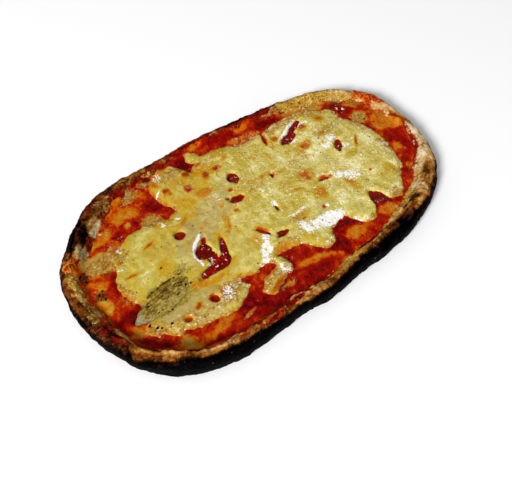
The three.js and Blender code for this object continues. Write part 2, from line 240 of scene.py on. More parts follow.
def doughTop(x, y):
    # A rounded shoulder up to the crest, a soft slope down from it, and the flat base inside.
    angle, inset = insetAt(x, y)
    height, crest, width, _ = rimAt(angle)
    base = rim["baseHeight"] + summed(relief, (x, y), rim["baseNoises"])
    top = height + summed(relief, (x, y), rim["crestNoises"])
    out = 1 - np.clip(inset, 0, crest) / crest
    power = rim["shoulderPower"]
    shoulder = rim["bulgeHeight"] + (top - rim["bulgeHeight"]) * (1 - out ** power) ** (1 / power)
    down = np.clip((inset - crest) / (width - crest), 0, 1)
    slope = base + (top - base) * (0.5 + 0.5 * np.cos(np.pi * down))
    return np.where(inset < crest, shoulder, slope)


# --- where sauce and cheese lie ---

melt = {
    "lobes": [  # x, y, half length, half width, turn
        (-91, 9, 37.5, 39, 0), (-95, -15, 25, 19, 0), (-94, -40, 39, 16, -9), (-73, -46, 15, 14, 0),
        (-64, 28, 24, 14, 5), (-40, -10, 44, 34, 0), (-25, 32, 33, 21, 0), (-36.5, 65, 20, 24, 0),
        (8, 55, 34, 24, 0), (-5, 83, 6.5, 6, 0), (50, 45, 30, 22, 0), (83, 40, 48, 28, 0),
        (94, 0, 46.5, 50, 0), (101.5, -26.5, 28.5, 26.5, 0), (30, -5, 85, 46.5, 0), (99, -38, 16, 26, 0),
        (62.5, -42, 15, 26, 0), (18.5, -42, 12.5, 22.5, 0), (-36, -59, 17, 6.5, 20),
        (-22, -52, 4.5, 9, 0),
    ],
    "gaps": [
        (-60.5, -4, 8, 6.2, 40), (-58.5, -12, 9, 4.4, 90), (-62.5, -21.3, 14.5, 4.2, 2),
        (-46.5, -11.5, 10.5, 2.6, 62), (-55, -20.5, 8, 5.6, 12), (-54.5, 3.5, 4.5, 1.6, 48),
        (-64.5, 21, 4.4, 4.2, 0), (6.5, 41.5, 6.5, 5, 70), (-6.5, 21, 6.5, 3.6, -5),
        (-11.5, 26, 2, 1.5, 0), (75, 46.5, 9.5, 4.6, 14), (87.5, 53.5, 12, 2.8, 24),
        (102, 10.5, 7.5, 3.3, 48), (-13, -18.5, 6.5, 1.7, -62), (-2, -31, 6, 2.3, 0), (-3, -29, 3, 2, 0),
        (-80, -43, 3.3, 3.1, 0), (57, 59, 6, 1.3, 68), (12, -8, 3, 1.3, 75), (33.5, 22, 3, 1.3, 55),
        (64, -10, 5, 1.6, -15), (-106, -45, 2.4, 1.9, 0), (-128, 31, 14, 9, 72), (82.5, -61, 16, 7.5, 88),
    ],
    "together": 2.2,  # how widely the lobes run into one another
    "ragged": (8.5, 1.5, 31), "fine": (4.4, 1.5, 35), "gapRagged": 0.2, "gapFine": 0.5,
    "steepest": 60,  # past this many times "together" a lobe is all in or all out
}
sauce = {"ragged": (12, 2, 21), "fine": (5, 1.2, 22), "underCheese": 1.5}


def gapField(x, y):
    # The distance from the nearest gap's edge, above 0 outside every gap.
    return np.min([-ovalField(x, y, gap) for gap in melt["gaps"]], axis=0)


def cheeseField(x, y):
    # Above 0 where the sheet lies: the lobes run together, less the gaps.
    ragged = summed(relief, (x, y), [melt["ragged"]])
    fine = summed(lumps, (x, y, 0), [melt["fine"]])
    depths = (ovalField(x, y, lobe) / melt["together"] for lobe in melt["lobes"])
    total = sum(np.exp(np.clip(depth, -melt["steepest"], melt["steepest"])) for depth in depths)
    sheet = melt["together"] * np.log(total) + ragged + fine
    return np.minimum(sheet, gapField(x, y) + melt["gapRagged"] * ragged + melt["gapFine"] * fine)


def sauceField(x, y):
    # Above 0 where sauce lies: the distance in from its ragged edge, or under the cheese's edge.
    angle, inset = insetAt(x, y)
    ragged = summed(relief, (x, y), [sauce["ragged"]]) + summed(lumps, (x, y, 0), [sauce["fine"]])
    return np.maximum(inset - rimAt(angle)[3] + ragged, cheeseField(x, y) - sauce["underCheese"])


# --- mesh making ---

lattice = {
    "joinRounds": 3,  # how often cells that touch at a corner alone are joined
    "pullRounds": 3, "probe": 0.2, "flat": 0.05,  # how border points are moved, and the least slope
    "longest": 0.4,  # the furthest that one round moves a point, as a share of a cell
}


def newMesh(name, points, quads, triangles=None):
    # Points in millimetres, with faces of four corners and perhaps of three.
    quads = quads.reshape(-1, 4)
    if triangles is None:
        triangles = np.zeros((0, 3), int)
    loops = np.concatenate([quads.ravel(), triangles.ravel()])
    sizes = np.repeat([4, 3], [len(quads), len(triangles)])
    mesh = bpy.data.meshes.new(name)
    mesh.vertices.add(len(points))
    mesh.vertices.foreach_set("co", (points * mm).astype(np.float32).ravel())
    mesh.loops.add(len(loops))
    mesh.loops.foreach_set("vertex_index", loops.astype(np.int32))
    mesh.polygons.add(len(sizes))
    mesh.polygons.foreach_set("loop_start", (np.cumsum(sizes) - sizes).astype(np.int32))
    mesh.update(calc_edges=True)
    mesh.polygons.foreach_set("use_smooth", np.ones(len(sizes), bool))
    piece = bpy.data.objects.new(name, mesh)
    bpy.context.scene.collection.objects.link(piece)
    return piece


def setMask(piece, name, values):
    # One value for each point, which the finish reads by its name.
    attribute = piece.data.attributes.new(name, "FLOAT", "POINT")
    attribute.data.foreach_set("value", np.clip(values, -1, 2).astype(np.float32).ravel())


def setSlabMasks(piece, masks):
    # The same values on the top and on the bottom of a slab.
    for name, values in masks.items():
        setMask(piece, name, np.tile(values, 2))


def ringFaces(count, around):
    # Quads from each ring of points to the next, and triangles from the end rings to two poles
    # that come after all the rings' points.
    index = np.arange(count * around).reshape(count, around)
    turned = np.roll(index, -1, axis=1)
    quads = np.stack([index[:-1], turned[:-1], turned[1:], index[1:]], axis=-1).reshape(-1, 4)
    first, last = np.full(around, count * around), np.full(around, count * around + 1)
    start = np.stack([first, turned[0], index[0]], axis=-1)
    end = np.stack([last, index[-1], turned[-1]], axis=-1)
    return quads, np.concatenate([start, end])


def ringMesh(name, rings, firstPole, lastPole):
    # Rings of points, each joined to the next, and closed at both ends by a pole.
    quads, triangles = ringFaces(*rings.shape[:2])
    points = np.concatenate([rings.reshape(-1, 3), [firstPole, lastPole]])
    return newMesh(name, points, quads, triangles)


def sheetLattice(field, step, reachX, reachY):
    # Square cells whose middle is inside the field. The points on the border of those cells are
    # moved down the field's slope onto its edge.
    xs = np.arange(-reachX, reachX + step, step)
    ys = np.arange(-reachY, reachY + step, step)
    x, y = np.meshgrid(xs, ys, indexing="ij")
    inside = field(x[:-1, :-1] + step / 2, y[:-1, :-1] + step / 2) > 0
    inside[[0, -1]] = False
    inside[:, [0, -1]] = False
    for _ in range(lattice["joinRounds"]):
        a, b, c, d = inside[:-1, :-1], inside[1:, :-1], inside[1:, 1:], inside[:-1, 1:]
        b |= a & c & ~b & ~d
        a |= b & d & ~a & ~c
    around = np.zeros(x.shape, int)
    for i, j in np.ndindex(2, 2):
        around[i:x.shape[0] - 1 + i, j:x.shape[1] - 1 + j] += inside
    used = around > 0
    border = used & (around < 4)
    h = lattice["probe"]
    for _ in range(lattice["pullRounds"]):
        bx, by = x[border], y[border]
        level = field(bx, by)
        gx = (field(bx + h, by) - field(bx - h, by)) / (2 * h)
        gy = (field(bx, by + h) - field(bx, by - h)) / (2 * h)
        slope = gx * gx + gy * gy + lattice["flat"]
        length = np.hypot(level * gx / slope, level * gy / slope) + 1e-9
        share = np.minimum(1, lattice["longest"] * step / length)
        x[border] = bx - share * level * gx / slope
        y[border] = by - share * level * gy / slope
    index = np.full(x.shape, -1)
    index[used] = np.arange(used.sum())
    return x[used], y[used], index, inside


def slabMesh(name, x, y, top, bottom, index, inside):
    # The lattice's cells at the top height, the same cells turned over at the bottom height, and
    # a wall along every cell side that has no neighbour.
    n = len(x)
    a, b, c, d = index[:-1, :-1], index[1:, :-1], index[1:, 1:], index[:-1, 1:]
    up = np.stack([a, b, c, d], axis=-1)[inside]
    quads = [up, up[:, ::-1] + n]
    for p, q, axis, shift in ((a, b, 1, 1), (b, c, 0, -1), (c, d, 1, -1), (d, a, 0, 1)):
        alone = inside & ~np.roll(inside, shift, axis=axis)
        u, v = p[alone], q[alone]
        quads.append(np.stack([v, u, u + n, v + n], axis=-1))
    points = np.concatenate([np.stack([x, y, top], axis=-1), np.stack([x, y, bottom], axis=-1)])
    return newMesh(name, points, np.concatenate(quads))


# --- material making ---

def paint(red, green, blue):
    # A screen colour, 0 to 255, as the linear colour that shows so under this studio's light.
    c = np.array([red, green, blue]) / 255
    linear = np.where(c <= 0.04045, c / 12.92, ((c + 0.055) / 1.055) ** 2.4) / studio["level"]
    return (*(float(v) for v in linear), 1.0)


def addNode(tree, kind, inputs=None, **settings):
    # A node with its settings, and each of its inputs linked to a socket or set to a value.
    made = tree.nodes.new(kind)
    for key, value in settings.items():
        setattr(made, key, value)
    for key, value in (inputs or {}).items():
        if isinstance(value, bpy.types.NodeSocket):
            tree.links.new(value, made.inputs[key])
        else:
            made.inputs[key].default_value = value
    return made


def newFinish(name, sockets):
    # A material, with what is the same all over set on the shader's own sockets.
    finish = bpy.data.materials.new(name)
    finish.use_nodes = True
    shader = finish.node_tree.nodes["Principled BSDF"]
    for key, value in sockets.items():
        shader.inputs[key].default_value = value
    return finish, finish.node_tree, shader


def mask(tree, name):
    # The values that setMask put on the piece.
    return addNode(tree, "ShaderNodeAttribute", attribute_name=name).outputs["Fac"]


def grain(tree, size, detail=3, roughness=0.55, distortion=0):
    # Noise on the object's own coordinates, with its size in millimetres.
    place = addNode(tree, "ShaderNodeTexCoord").outputs["Object"]
    noise = {"Vector": place, "Scale": 1 / (size * mm), "Detail": detail, "Roughness": roughness,
             "Distortion": distortion}
    return addNode(tree, "ShaderNodeTexNoise", noise).outputs["Fac"]


def grains(tree, look):
    # A finish's noises by name, each from its size, detail, roughness and distortion.
    return {name: grain(tree, *settings) for name, settings in look["grains"].items()}


def math(tree, operation, a, b):
    # One sum on two values or sockets.
    return addNode(tree, "ShaderNodeMath", {0: a, 1: b}, operation=operation).outputs[0]


def times(tree, a, b):
    # The product of two values or sockets.
    return math(tree, "MULTIPLY", a, b)


def stirred(tree, noises, value, reaches):
    # Adds noises to a value, each centred on nothing and times its reach.
    for name, reach in reaches.items():
        centred = math(tree, "SUBTRACT", noises[name], 0.5)
        value = math(tree, "ADD", value, times(tree, centred, reach))
    return value


def window(tree, value, low, high):
    # 0 below the low end and 1 above the high end, eased between them.
    limits = {"Value": value, "From Min": low, "From Max": high}
    return addNode(tree, "ShaderNodeMapRange", limits, interpolation_type="SMOOTHSTEP").outputs["Result"]


def span(tree, value, low, high):
    # A value from 0 to 1 spread over another range.
    limits = {"Value": value, "To Min": low, "To Max": high}
    return addNode(tree, "ShaderNodeMapRange", limits).outputs["Result"]


def ramp(tree, value, stops):
    # A band of screen colours, each at its place from 0 to 1.
    band = addNode(tree, "ShaderNodeValToRGB", {"Fac": value})
    ends = band.color_ramp.elements
    ends[0].position, ends[0].color = stops[0][0], paint(*stops[0][1])
    ends[1].position, ends[1].color = stops[-1][0], paint(*stops[-1][1])
    for place, colour in stops[1:-1]:
        ends.new(place).color = paint(*colour)
    return band.outputs["Color"]


def blend(tree, share, below, above):
    # A share of one colour over another. Inputs 6 and 7 of the node are its two colours.
    return addNode(tree, "ShaderNodeMix", {0: share, 6: below, 7: above}, data_type="RGBA").outputs[2]


def shown(tree, noises, look, name):
    # Where one of the piece's masks shows, once noises stir it: its own two limits set the edge.
    low, high, reaches = look["shows"][name]
    return window(tree, stirred(tree, noises, mask(tree, name), reaches), low, high)


def coat(tree, colour, share, value, look, name):
    # Lays the named band of colours over the colour so far.
    return blend(tree, share, colour, ramp(tree, value, look["bands"][name]))


def bump(tree, shader, layers):
    # Each layer is a height between 0 and 1, its depth in millimetres and its strength.
    normal = None
    for height, depth, strength in layers:
        inputs = {"Height": height, "Distance": depth * mm, "Strength": strength}
        if normal is not None:
            inputs["Normal"] = normal
        normal = addNode(tree, "ShaderNodeBump", inputs).outputs["Normal"]
    tree.links.new(normal, shader.inputs["Normal"])


def dress(piece, finish, node):
    # Its finish, the body it rides on, and the solid that it stands for, which it hides.
    piece.data.materials.append(finish)
    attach(piece, "root")
    if node:
        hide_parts(node)


# --- crust ---

crust = {
    "around": 1080, "undersideRings": 5, "wallRings": 14, "shoulderRings": 15, "slopeRings": 26,
    "undersideFrom": 0.15, "innerShares": (0.95, 0.85, 0.65, 0.4, 0.15),
    "keepIn": 0.35,  # how much the fine edge is drawn in, so that its bumps stay inside the solid
    "highest": 2,  # how much more a bump may stand out away from the edge
    "underSauce": 0.15, "bareFrom": 0.6, "bareReach": 3,  # what is left of the bumps there, and its edge
    "fades": {  # where each begins and the reach of its fade: in from the edge, or up from the underside
        "bumps": (1, 3), "cracks": (2, 4), "highest": (1, 3), "foldsIn": (6, 3), "foldsUp": (7, 2),
        "film": (3, 3), "stain": (0, 1.5),
    },
    "wrap": 60,  # millimetres for each radian, for what is drawn out along the rim
    "skin": ((11, 0.8, 61), (4.5, 0.25, 62), (2.2, 0.12, 63)),
    "puffs": ((6, 1, 66), (3, 0.5, 67)), "puffMiddle": 0.35, "mottle": (9, 81),
    "streaks": {"along": 0.5, "across": 1.6, "size": 5, "seed": 65},
    "cracks": {"along": 0.6, "across": 1.2, "up": 0.4, "size": 9, "seed": 64, "width": 0.16},
    "heights": {"streaks": 0.3, "puffs": 1.2, "cracks": 0.6},
    # how noise bends the folds' lines along x and along y, and makes them stronger and weaker
    "foldShifts": (((11, 2.6, 71), (4.5, 1, 76)), ((11, 2.6, 73), (4.5, 1, 78))),
    "foldStrength": {"plain": 0.7, "least": 0.1, "noises": ((9, 0.8, 72), (3.6, 0.9, 74))},
    "ridges": [  # the folded lip inside the rim: points of its line, height and half width
        ([(-149, -20), (-149.5, -42), (-142.5, -52.5), (-134.5, -60.5), (-127, -67), (-120, -76),
          (-110, -81), (-102, -81), (-94, -79), (-80, -82), (-68, -86), (-48, -86)], 2, 3),
        ([(-42, -83), (-22, -85), (-8, -82), (10, -82), (30, -85), (50, -85), (62, -81)], 1.8, 2.4),
        ([(70, -79), (88, -72), (104, -66), (118, -63), (134, -52)], 1.6, 2.4),
        ([(146, 44), (156, 28), (163, 10), (162, -4)], 1.3, 2),
        ([(-150, 46), (-142, 58), (-130, 62), (-122, 74)], 1.8, 2.4),
    ],
    # heading round the pizza: how burnt the outer side is, how far in that reaches, and how browned
    # the top of the rim is. On the near wall the black side is char and painted shade together.
    "baking": np.array([
        (-180, 1, 1.6, 0.6), (-165, 1, 1.6, 0.74), (-152, 1.15, 2.8, 0.72), (-142, 1.4, 4.6, 0.58),
        (-135, 1.5, 5.4, 0.5), (-126, 1.5, 3.5, 0.42), (-118, 1.5, 2.2, 0.46), (-108, 1.5, 3, 0.5),
        (-90, 1.4, 4, 0.5), (-70, 1.3, 6, 0.5), (-56, 1.2, 7.5, 0.48), (-46, 1.1, 6, 0.44),
        (-38, 1, 3.5, 0.36), (-30, 0.9, 3.5, 0.24), (-22, 0.85, 3.5, 0.14), (-10, 0.7, 1.5, 0.1),
        (0, 0.6, 1, 0.2), (20, 0.8, 1.2, 0.3), (40, 0.9, 1.6, 0.4), (45, 1.4, 4.5, 0.44),
        (71, 1.4, 4.2, 0.44), (76, 0.8, 1.4, 0.4), (100, 0.7, 1, 0.4), (104, 1.2, 1.8, 0.5),
        (122, 1.1, 1.6, 0.5), (128, 0.9, 1.4, 0.55), (138, 1, 2, 0.6), (150, 0.95, 1.6, 0.6),
        (160, 0.9, 2.2, 0.62), (172, 0.95, 2.4, 0.62), (176, 1, 2, 0.6), (180, 1, 1.6, 0.6),
    ]),
    "brushes": {"flour": 5, "film": 7, "clean": 5, "stain": 7},  # size of the noise that bends each
    "bakeBrush": {"size": 6, "blur": 0.9},
    "bake": [  # x, y, half length, half width, turn, how browned: 0 pale, 0.5 brown, 1 black
        (-158, 26, 18, 3, 84, 0.62), (-153, 26, 20, 3.5, 88, 0.54), (-148, 12, 30, 1.4, 90, 0.36),
        (-155, 18, 5, 2.5, 90, 0.36), (-165, 3, 9, 3, 92, 0.88), (-153, -2, 9, 3, 90, 0.36),
        (-159, -16, 20, 5, -84, 0.78), (-154, -32, 12, 5, -80, 0.8), (-149, -30, 14, 1.4, -84, 0.36),
        (-130, 70, 16, 9, 47, 0.9), (-109, 84, 12, 6, 25, 0.75), (-97, 87, 10, 6, 20, 0.66),
        (-133, 54, 7, 4, 30, 0.36), (-111, 70, 8, 5, 40, 0.3), (-72, 82, 8, 4, 25, 0.4),
        (-44, 93, 20, 4, 3, 0.6), (150, 64, 18, 5, -46, 0.2), (166, 17, 13, 5, 95, 0.2),
        (158, -36, 18, 10, 62, 0), (100, -75, 10, 5, 12, 0.66), (168, 0, 12, 2, 90, 0.5),
        (153, -41, 5, 1.4, 25, 0.4), (152, -46, 6, 3, 40, 0.04), (124, -66, 20, 8, 30, 0.34),
        (114, -66, 8, 4, 25, 0.14), (135, -63, 8, 5, 40, 0.5), (101, -68, 9, 5, 15, 0.52),
        (-50, -84, 44, 4, 0, 0.5), (10, -84, 24, 3, 0, 0.3), (45, -84, 14, 5, 0, 0.66),
        (78, -75, 18, 3, 10, 0.14), (74, -84, 20, 3, 4, 0.72), (-141, -69, 24, 4, -40, 0.74),
        (-133, -64, 22, 3, -41, 0.42), (-147, -48, 8, 2.4, -55, 0.46), (-106, -80, 10, 3, -5, 0.36),
        (-88, -78, 26, 3, -6, 0.3), (-30, -81, 20, 2, 0, 0.4),
    ],
    "flour": [  # where the dough is pale grey and dry
        (-133, 54, 6, 4.5, 30, 1), (-135, 48.5, 4, 1.5, 20, 1.4), (-111, 69, 8, 4, 40, 0.8),
        (-72, 82, 8, 4, 25, 0.9), (-155, 18, 5, 2.5, 90, 0.5), (156, -38, 14, 7, 62, 0.2),
        (165, 18, 12, 4, 98, 0.3), (-43, 84, 6, 4, 0, 0.7), (146, -47, 8, 4, 50, 0.6),
        (116, -67, 7, 3, 25, 0.5),
    ],
    "film": [  # where a thin yellow film of cheese and oil has dried
        (118, 75, 27, 11, -20, 1.6), (148, 52, 12, 8, -60, 0.6), (-95, 85, 12, 5, 20, 0.4),
        (112, -64, 26, 5, 25, 0.5), (78, -74, 20, 3, 10, 1), (-154, 24, 26, 3, 88, 0.6),
        (-157, -2, 5, 6, 0, 0.5), (100, -66, 10, 4, 10, 0.9), (10, -84, 26, 3, 0, 0.9),
        (46, -84, 14, 2, 0, 0.5), (-48, 90, 5, 2, 0, 0.6),
    ],
    "clean": [  # where no sauce has run
        (-134, -66, 30, 7, -40, 1), (-154, -46, 12, 4, -70, 0.8), (20, -86, 60, 3, 0, 0.7),
    ],
    "stain": [  # where sauce has run or splashed
        (-146, 46, 7, 7, 30, 1.3), (-146, 24, 20, 3, 90, 0.9), (-149, -6, 12, 3, 88, 0.9),
        (-154, -24, 14, 5, -75, 0.75), (-153, -8, 4, 7, 0, 0.8), (-147, -34, 3, 9, 0, 0.5),
        (-46, 92, 9, 2, 5, 1), (2, 96, 26, 5, 0, 1.4), (-30, 93, 16, 3, 0, 0.6),
        (62, 88, 28, 4, -10, 1.1), (130, 80, 5, 2, -25, 0.9), (167, 36, 18, 3.5, -72, 1.1),
        (-106, -74, 10, 3, -10, 0.9), (-86, -79, 12, 2.4, -6, 0.8), (-50, -84, 34, 4, 0, 1.1),
        (-4, -79, 20, 2, 0, 0.7), (150, -18, 6, 12, 0, 0.6), (45, -81, 14, 5, 0, 1),
        (101, -70, 8, 3, 15, 0.5), (-84, 87, 10, 4, 20, 0.9), (-120, 60, 10, 4, 30, 0.8),
        (-60, 86, 14, 4, 8, 0.8), (-132, 62, 6, 3, 50, 0.5), (-130, 70, 10, 5, 47, 0.6),
        (-104, 86, 10, 4, 25, 0.6),
    ],
    # what makes the dough browner or paler
    "browning": {"noise": 0.14, "streaks": 0.1, "folds": -0.07, "highestFold": 2},
    # painted light and shade on the relief: skin bumps and puffs paler, cracks darker
    "raised": {"skin": -0.12, "puffs": -0.35, "cracks": 0.18},
    "sideEdge": {"plain": 2.5, "perReach": 0.6, "uneven": 0.3},  # how softly the burnt side ends
    "underside": {"plain": 0.45, "uneven": 0.7, "size": 22, "seed": 83, "fade": (-1.5, 1.5)},
    "stained": {  # near the sauce, in from the edge, and what folds and burnt dough keep off
        "nearSauce": (-6.25, 5), "inward": (3, 4), "ovalsInward": (1, 3), "plain": 0.7, "uneven": 0.6,
        "byFolds": 0.8, "foldHeight": 2.2, "burnt": (0.8, 0.3),
    },
    "stainWarmth": {  # its plain colour, and how much warmer it is past a place along x and one along y
        "plain": 0.34, "westEnd": (0.22, (138, 8), (-14, 8)), "farEast": (0.18, (146, 8), (14, 10)),
        "farSide": (-0.04, (80, 12)),
    },
}


def ridgeHeight(x, y):
    # The highest of the folds at a point: bell sections along crinkled lines of uneven strength.
    shiftX, shiftY = (summed(lumps, (x, y, 0), noises) for noises in crust["foldShifts"])
    fold = crust["foldStrength"]
    strength = np.maximum(fold["least"], fold["plain"] + summed(lumps, (x, y, 0), fold["noises"]))
    total = np.zeros_like(x)
    for path, height, halfWidth in crust["ridges"]:
        near = pathDistance(x + shiftX, y + shiftY, path) / halfWidth
        total = np.maximum(total, height * strength * np.exp(-near ** 2))
    return total


def steps(end, count):
    # Equal steps up to the end, as a column.
    return np.linspace(0, end, count + 1)[1:, None]


def crustRings():
    # Rings from the underside's middle, out round the edge, over the rim and in to the middle of
    # the top. Each is a distance from the edge and a height at every angle.
    angle = np.linspace(-np.pi, np.pi, crust["around"], endpoint=False)
    edge = edgeRadius(angle) - crust["keepIn"]
    slant = edgeSlant(angle)
    height, crest, width, _ = rimAt(angle)
    foot = edge - rim["footInset"] / slant
    share = np.linspace(crust["undersideFrom"], 1, crust["undersideRings"])[:, None]
    turn = steps(np.pi / 2, crust["wallRings"])
    low = np.concatenate([foot * share, edge - rim["footInset"] * (1 - np.sin(turn)) / slant])
    lowHeight = np.concatenate([0 * share, rim["bulgeHeight"] * (1 - np.cos(turn))]) + 0 * angle
    shoulder = edge - crest * (1 - np.cos(steps(np.pi / 2, crust["shoulderRings"]))) / slant
    slope = edge - (crest + (width - crest) * steps(1, crust["slopeRings"])) / slant
    inner = slope[-1] * np.array(crust["innerShares"])[:, None]
    radius = np.concatenate([low, shoulder, slope, inner])
    x, y = radius * np.cos(angle), radius * np.sin(angle)
    z = np.concatenate([lowHeight, doughTop(x[len(low):], y[len(low):])])
    return np.stack([x, y, z], axis=-1)


def ringNormals(rings):
    # The cross product of the steps round a ring and from ring to ring, at length 1.
    along = np.gradient(rings, axis=0)
    across = np.roll(rings, -1, axis=1) - np.roll(rings, 1, axis=1)
    normal = np.cross(across, along)
    return normal / (np.linalg.norm(normal, axis=-1, keepdims=True) + 1e-9)


def crustNoises(x, y, z, inset):
    # What roughens the dough: its skin, streaks along the rim, puffs with sharp creases between
    # them, and cracks where a noise crosses nothing.
    along = crust["wrap"] * np.arctan2(y, x)
    skin = summed(lumps, (x, y, z), crust["skin"])
    line = crust["streaks"]
    streaks = rough(along * line["along"], inset * line["across"], 0, line["size"], line["seed"])
    crack = crust["cracks"]
    across, up = inset * crack["across"], z * crack["up"]
    field = lumps(along * crack["along"], across, up, crack["size"], crack["seed"])
    cracks = np.maximum(0, crack["width"] - np.abs(field)) / crack["width"]
    puffs = sum(reach * np.abs(lumps(x, y, z, size, seed)) for size, reach, seed in crust["puffs"])
    return {"skin": skin, "streaks": streaks, "cracks": cracks, "puffs": puffs - crust["puffMiddle"]}


def bakeLevel(x, y, z, angle, inset, noise, rougher, bare, fold):
    # How browned the dough is: a level for each heading, ovals over it, the burnt outer side (on the near
    # wall also painted shade), and painted light and shade on the relief: darker in cracks, paler on
    # bumps and puffs. The underside has a level of its own.
    table = crust["baking"]
    # The burnt side: char, and on the near wall also painted shade.
    burnt, reach, browned = (np.interp(np.degrees(angle), table[:, 0], row) for row in table.T[1:])
    soft, share = crust["sideEdge"], crust["browning"]
    side = ease((reach - inset) / (soft["plain"] + soft["perReach"] * reach) + 0.5 + soft["uneven"] * noise)
    level = layered(x, y, browned, crust["bake"], **crust["bakeBrush"])
    level = level + (np.maximum(burnt, level) - level) * side
    level = level + share["noise"] * noise + share["streaks"] * rougher["streaks"] * bare
    # Painted light and shade: paler where the skin and puffs stand out, darker in the cracks.
    raised = sum(reach * rougher[name] for name, reach in crust["raised"].items())
    level = level + raised * bare + share["folds"] * np.minimum(fold, share["highestFold"])
    below = crust["underside"]
    underside = below["plain"] + below["uneven"] * rough(x, y, z, below["size"], below["seed"])
    return level + (underside - level) * rise(-z, *below["fade"])


def stainLevel(inset, noise, wet, fold, level, painted):
    # Sauce near its own edge and in the listed ovals, less what folds, burnt edges and dry dough
    # keep off.
    run = crust["stained"]
    nearSauce = rise(wet, *run["nearSauce"]) * rise(inset, *run["inward"]) * (1 - painted["clean"])
    nearSauce = nearSauce * (run["plain"] + run["uneven"] * noise)
    stain = np.maximum(nearSauce, painted["stain"] * rise(inset, *run["ovalsInward"]))
    stain = stain * (1 - run["byFolds"] * ease(fold / run["foldHeight"]))
    return stain * (1 - rise(level, *run["burnt"])) * (1 - ease(painted["flour"]))


def makeCrust():
    # The rings, roughened along their normals and folded, and closed at the middle of both sides.
    rings = crustRings()
    x, y, z = np.moveaxis(rings, -1, 0)
    angle, inset = insetAt(x, y)
    wet = sauceField(x, y)
    fades = crust["fades"]
    bare = ease(crust["bareFrom"] - wet / crust["bareReach"])  # bumps fade out under the sauce
    above = rise(z, *fades["bumps"])  # and on the flat underside
    rougher = crustNoises(x, y, z, inset)
    height = crust["heights"]
    depth = rougher["skin"] + height["streaks"] * rougher["streaks"] + height["puffs"] * rougher["puffs"]
    depth = depth - height["cracks"] * rougher["cracks"] * rise(inset, *fades["cracks"])
    depth = depth * above * (crust["underSauce"] + (1 - crust["underSauce"]) * bare)
    depth = np.minimum(depth, crust["keepIn"] + crust["highest"] * rise(inset, *fades["highest"]))
    rings = rings + ringNormals(rings) * depth[..., None]
    fold = ridgeHeight(x, y) * rise(inset, *fades["foldsIn"]) * rise(z, *fades["foldsUp"])
    rings[..., 2] += fold
    rings = np.clip(rings, np.array(crustLow) / mm, np.array(crustHigh) / mm)  # within the solid's box
    topMiddle = [0, 0, doughTop(np.zeros(1), np.zeros(1))[0]]
    piece = ringMesh("crustSkin", rings, [0, 0, 0], topMiddle)

    noise = rough(x, y, z, *crust["mottle"])
    level = bakeLevel(x, y, z, angle, inset, noise, rougher, bare, fold)
    painted = {name: patches(x, y, crust[name], size) for name, size in crust["brushes"].items()}
    stain = stainLevel(inset, noise, wet, fold, level, painted)
    warm = crust["stainWarmth"]
    warmth = warm["plain"]
    for name, east in (("westEnd", -x), ("farEast", x)):
        more, alongX, alongY = warm[name]
        warmth = warmth + more * rise(east, *alongX) * rise(y, *alongY)
    more, alongY = warm["farSide"]
    warmth = warmth + more * rise(y, *alongY)
    masks = {
        "bake": level, "flour": painted["flour"], "film": painted["film"] * rise(inset, *fades["film"]),
        "stain": stain * rise(z, *fades["stain"]), "stainWarmth": warmth,
    }
    for name, values in masks.items():  # one value for each ring point, and the two poles' own
        setMask(piece, name, np.concatenate([values.ravel(), values[0, :1], values[-1, :1]]))
    return piece


doughLook = {
    "shader": {"Roughness": 0.8, "Specular IOR Level": 0.06},
    "grains": {"fine": (1.4, 4, 0.6), "mid": (5, 6, 0.7, 0.8), "wide": (14,)},
    "baked": {"fine": 0.6, "mid": 0.75, "wide": 0.3},  # how far each noise stirs it
    "warmth": {"mid": 1.2, "fine": 0.7},
    "tint": {"mid": 1.1, "fine": 0.4},
    "shows": {  # where each mask begins to show and where it shows fully, and what stirs it
        "flour": (0.3, 0.9, {"mid": 1.4, "fine": 1.2}),
        "stain": (0.35, 0.75, {"mid": 1.6, "fine": 1}),
        "film": (0.3, 0.75, {"mid": 1.6, "fine": 0.8}),
    },
    "bands": {
        "baked": [
            (0, (224, 200, 160)), (0.16, (206, 168, 112)), (0.34, (182, 132, 62)), (0.5, (146, 88, 24)),
            (0.64, (106, 52, 11)), (0.78, (54, 22, 8)), (0.92, (14, 6, 3)), (1, (2, 1, 1)),
        ],
        "flour": [
            (0.3, (140, 106, 50)), (0.42, (172, 148, 86)), (0.54, (200, 184, 134)),
            (0.68, (238, 232, 208)),
        ],
        "stain": [
            (0.28, (96, 8, 6)), (0.42, (148, 18, 5)), (0.52, (178, 56, 8)), (0.61, (200, 112, 16)),
            (0.72, (206, 156, 66)),
        ],
        "film": [
            (0.26, (136, 62, 12)), (0.4, (172, 118, 26)), (0.54, (184, 148, 46)), (0.66, (196, 172, 90)),
            (0.78, (232, 214, 160)),
        ],
    },
    "bumps": {"wide": 0.6, "mid": 1, "fine": 0.55},  # depths in millimetres
}


def doughFinish():
    # Browned dough, and over it dry flour, then sauce stains, then a film of oil.
    look = doughLook
    finish, tree, shader = newFinish("doughFinish", look["shader"])
    noises = grains(tree, look)
    flour, stain, film = (shown(tree, noises, look, name) for name in ("flour", "stain", "film"))
    level = stirred(tree, noises, mask(tree, "bake"), look["baked"])
    warmth = stirred(tree, noises, mask(tree, "stainWarmth"), look["warmth"])
    tint = stirred(tree, noises, noises["fine"], look["tint"])
    colour = ramp(tree, level, look["bands"]["baked"])
    colour = coat(tree, colour, flour, noises["mid"], look, "flour")
    colour = coat(tree, colour, stain, warmth, look, "stain")
    colour = coat(tree, colour, film, tint, look, "film")
    tree.links.new(colour, shader.inputs["Base Color"])
    bump(tree, shader, [(noises[name], depth, 1) for name, depth in look["bumps"].items()])
    return finish


print("crust")
dress(makeCrust(), doughFinish(), "crust")


# --- tomato sauce ---

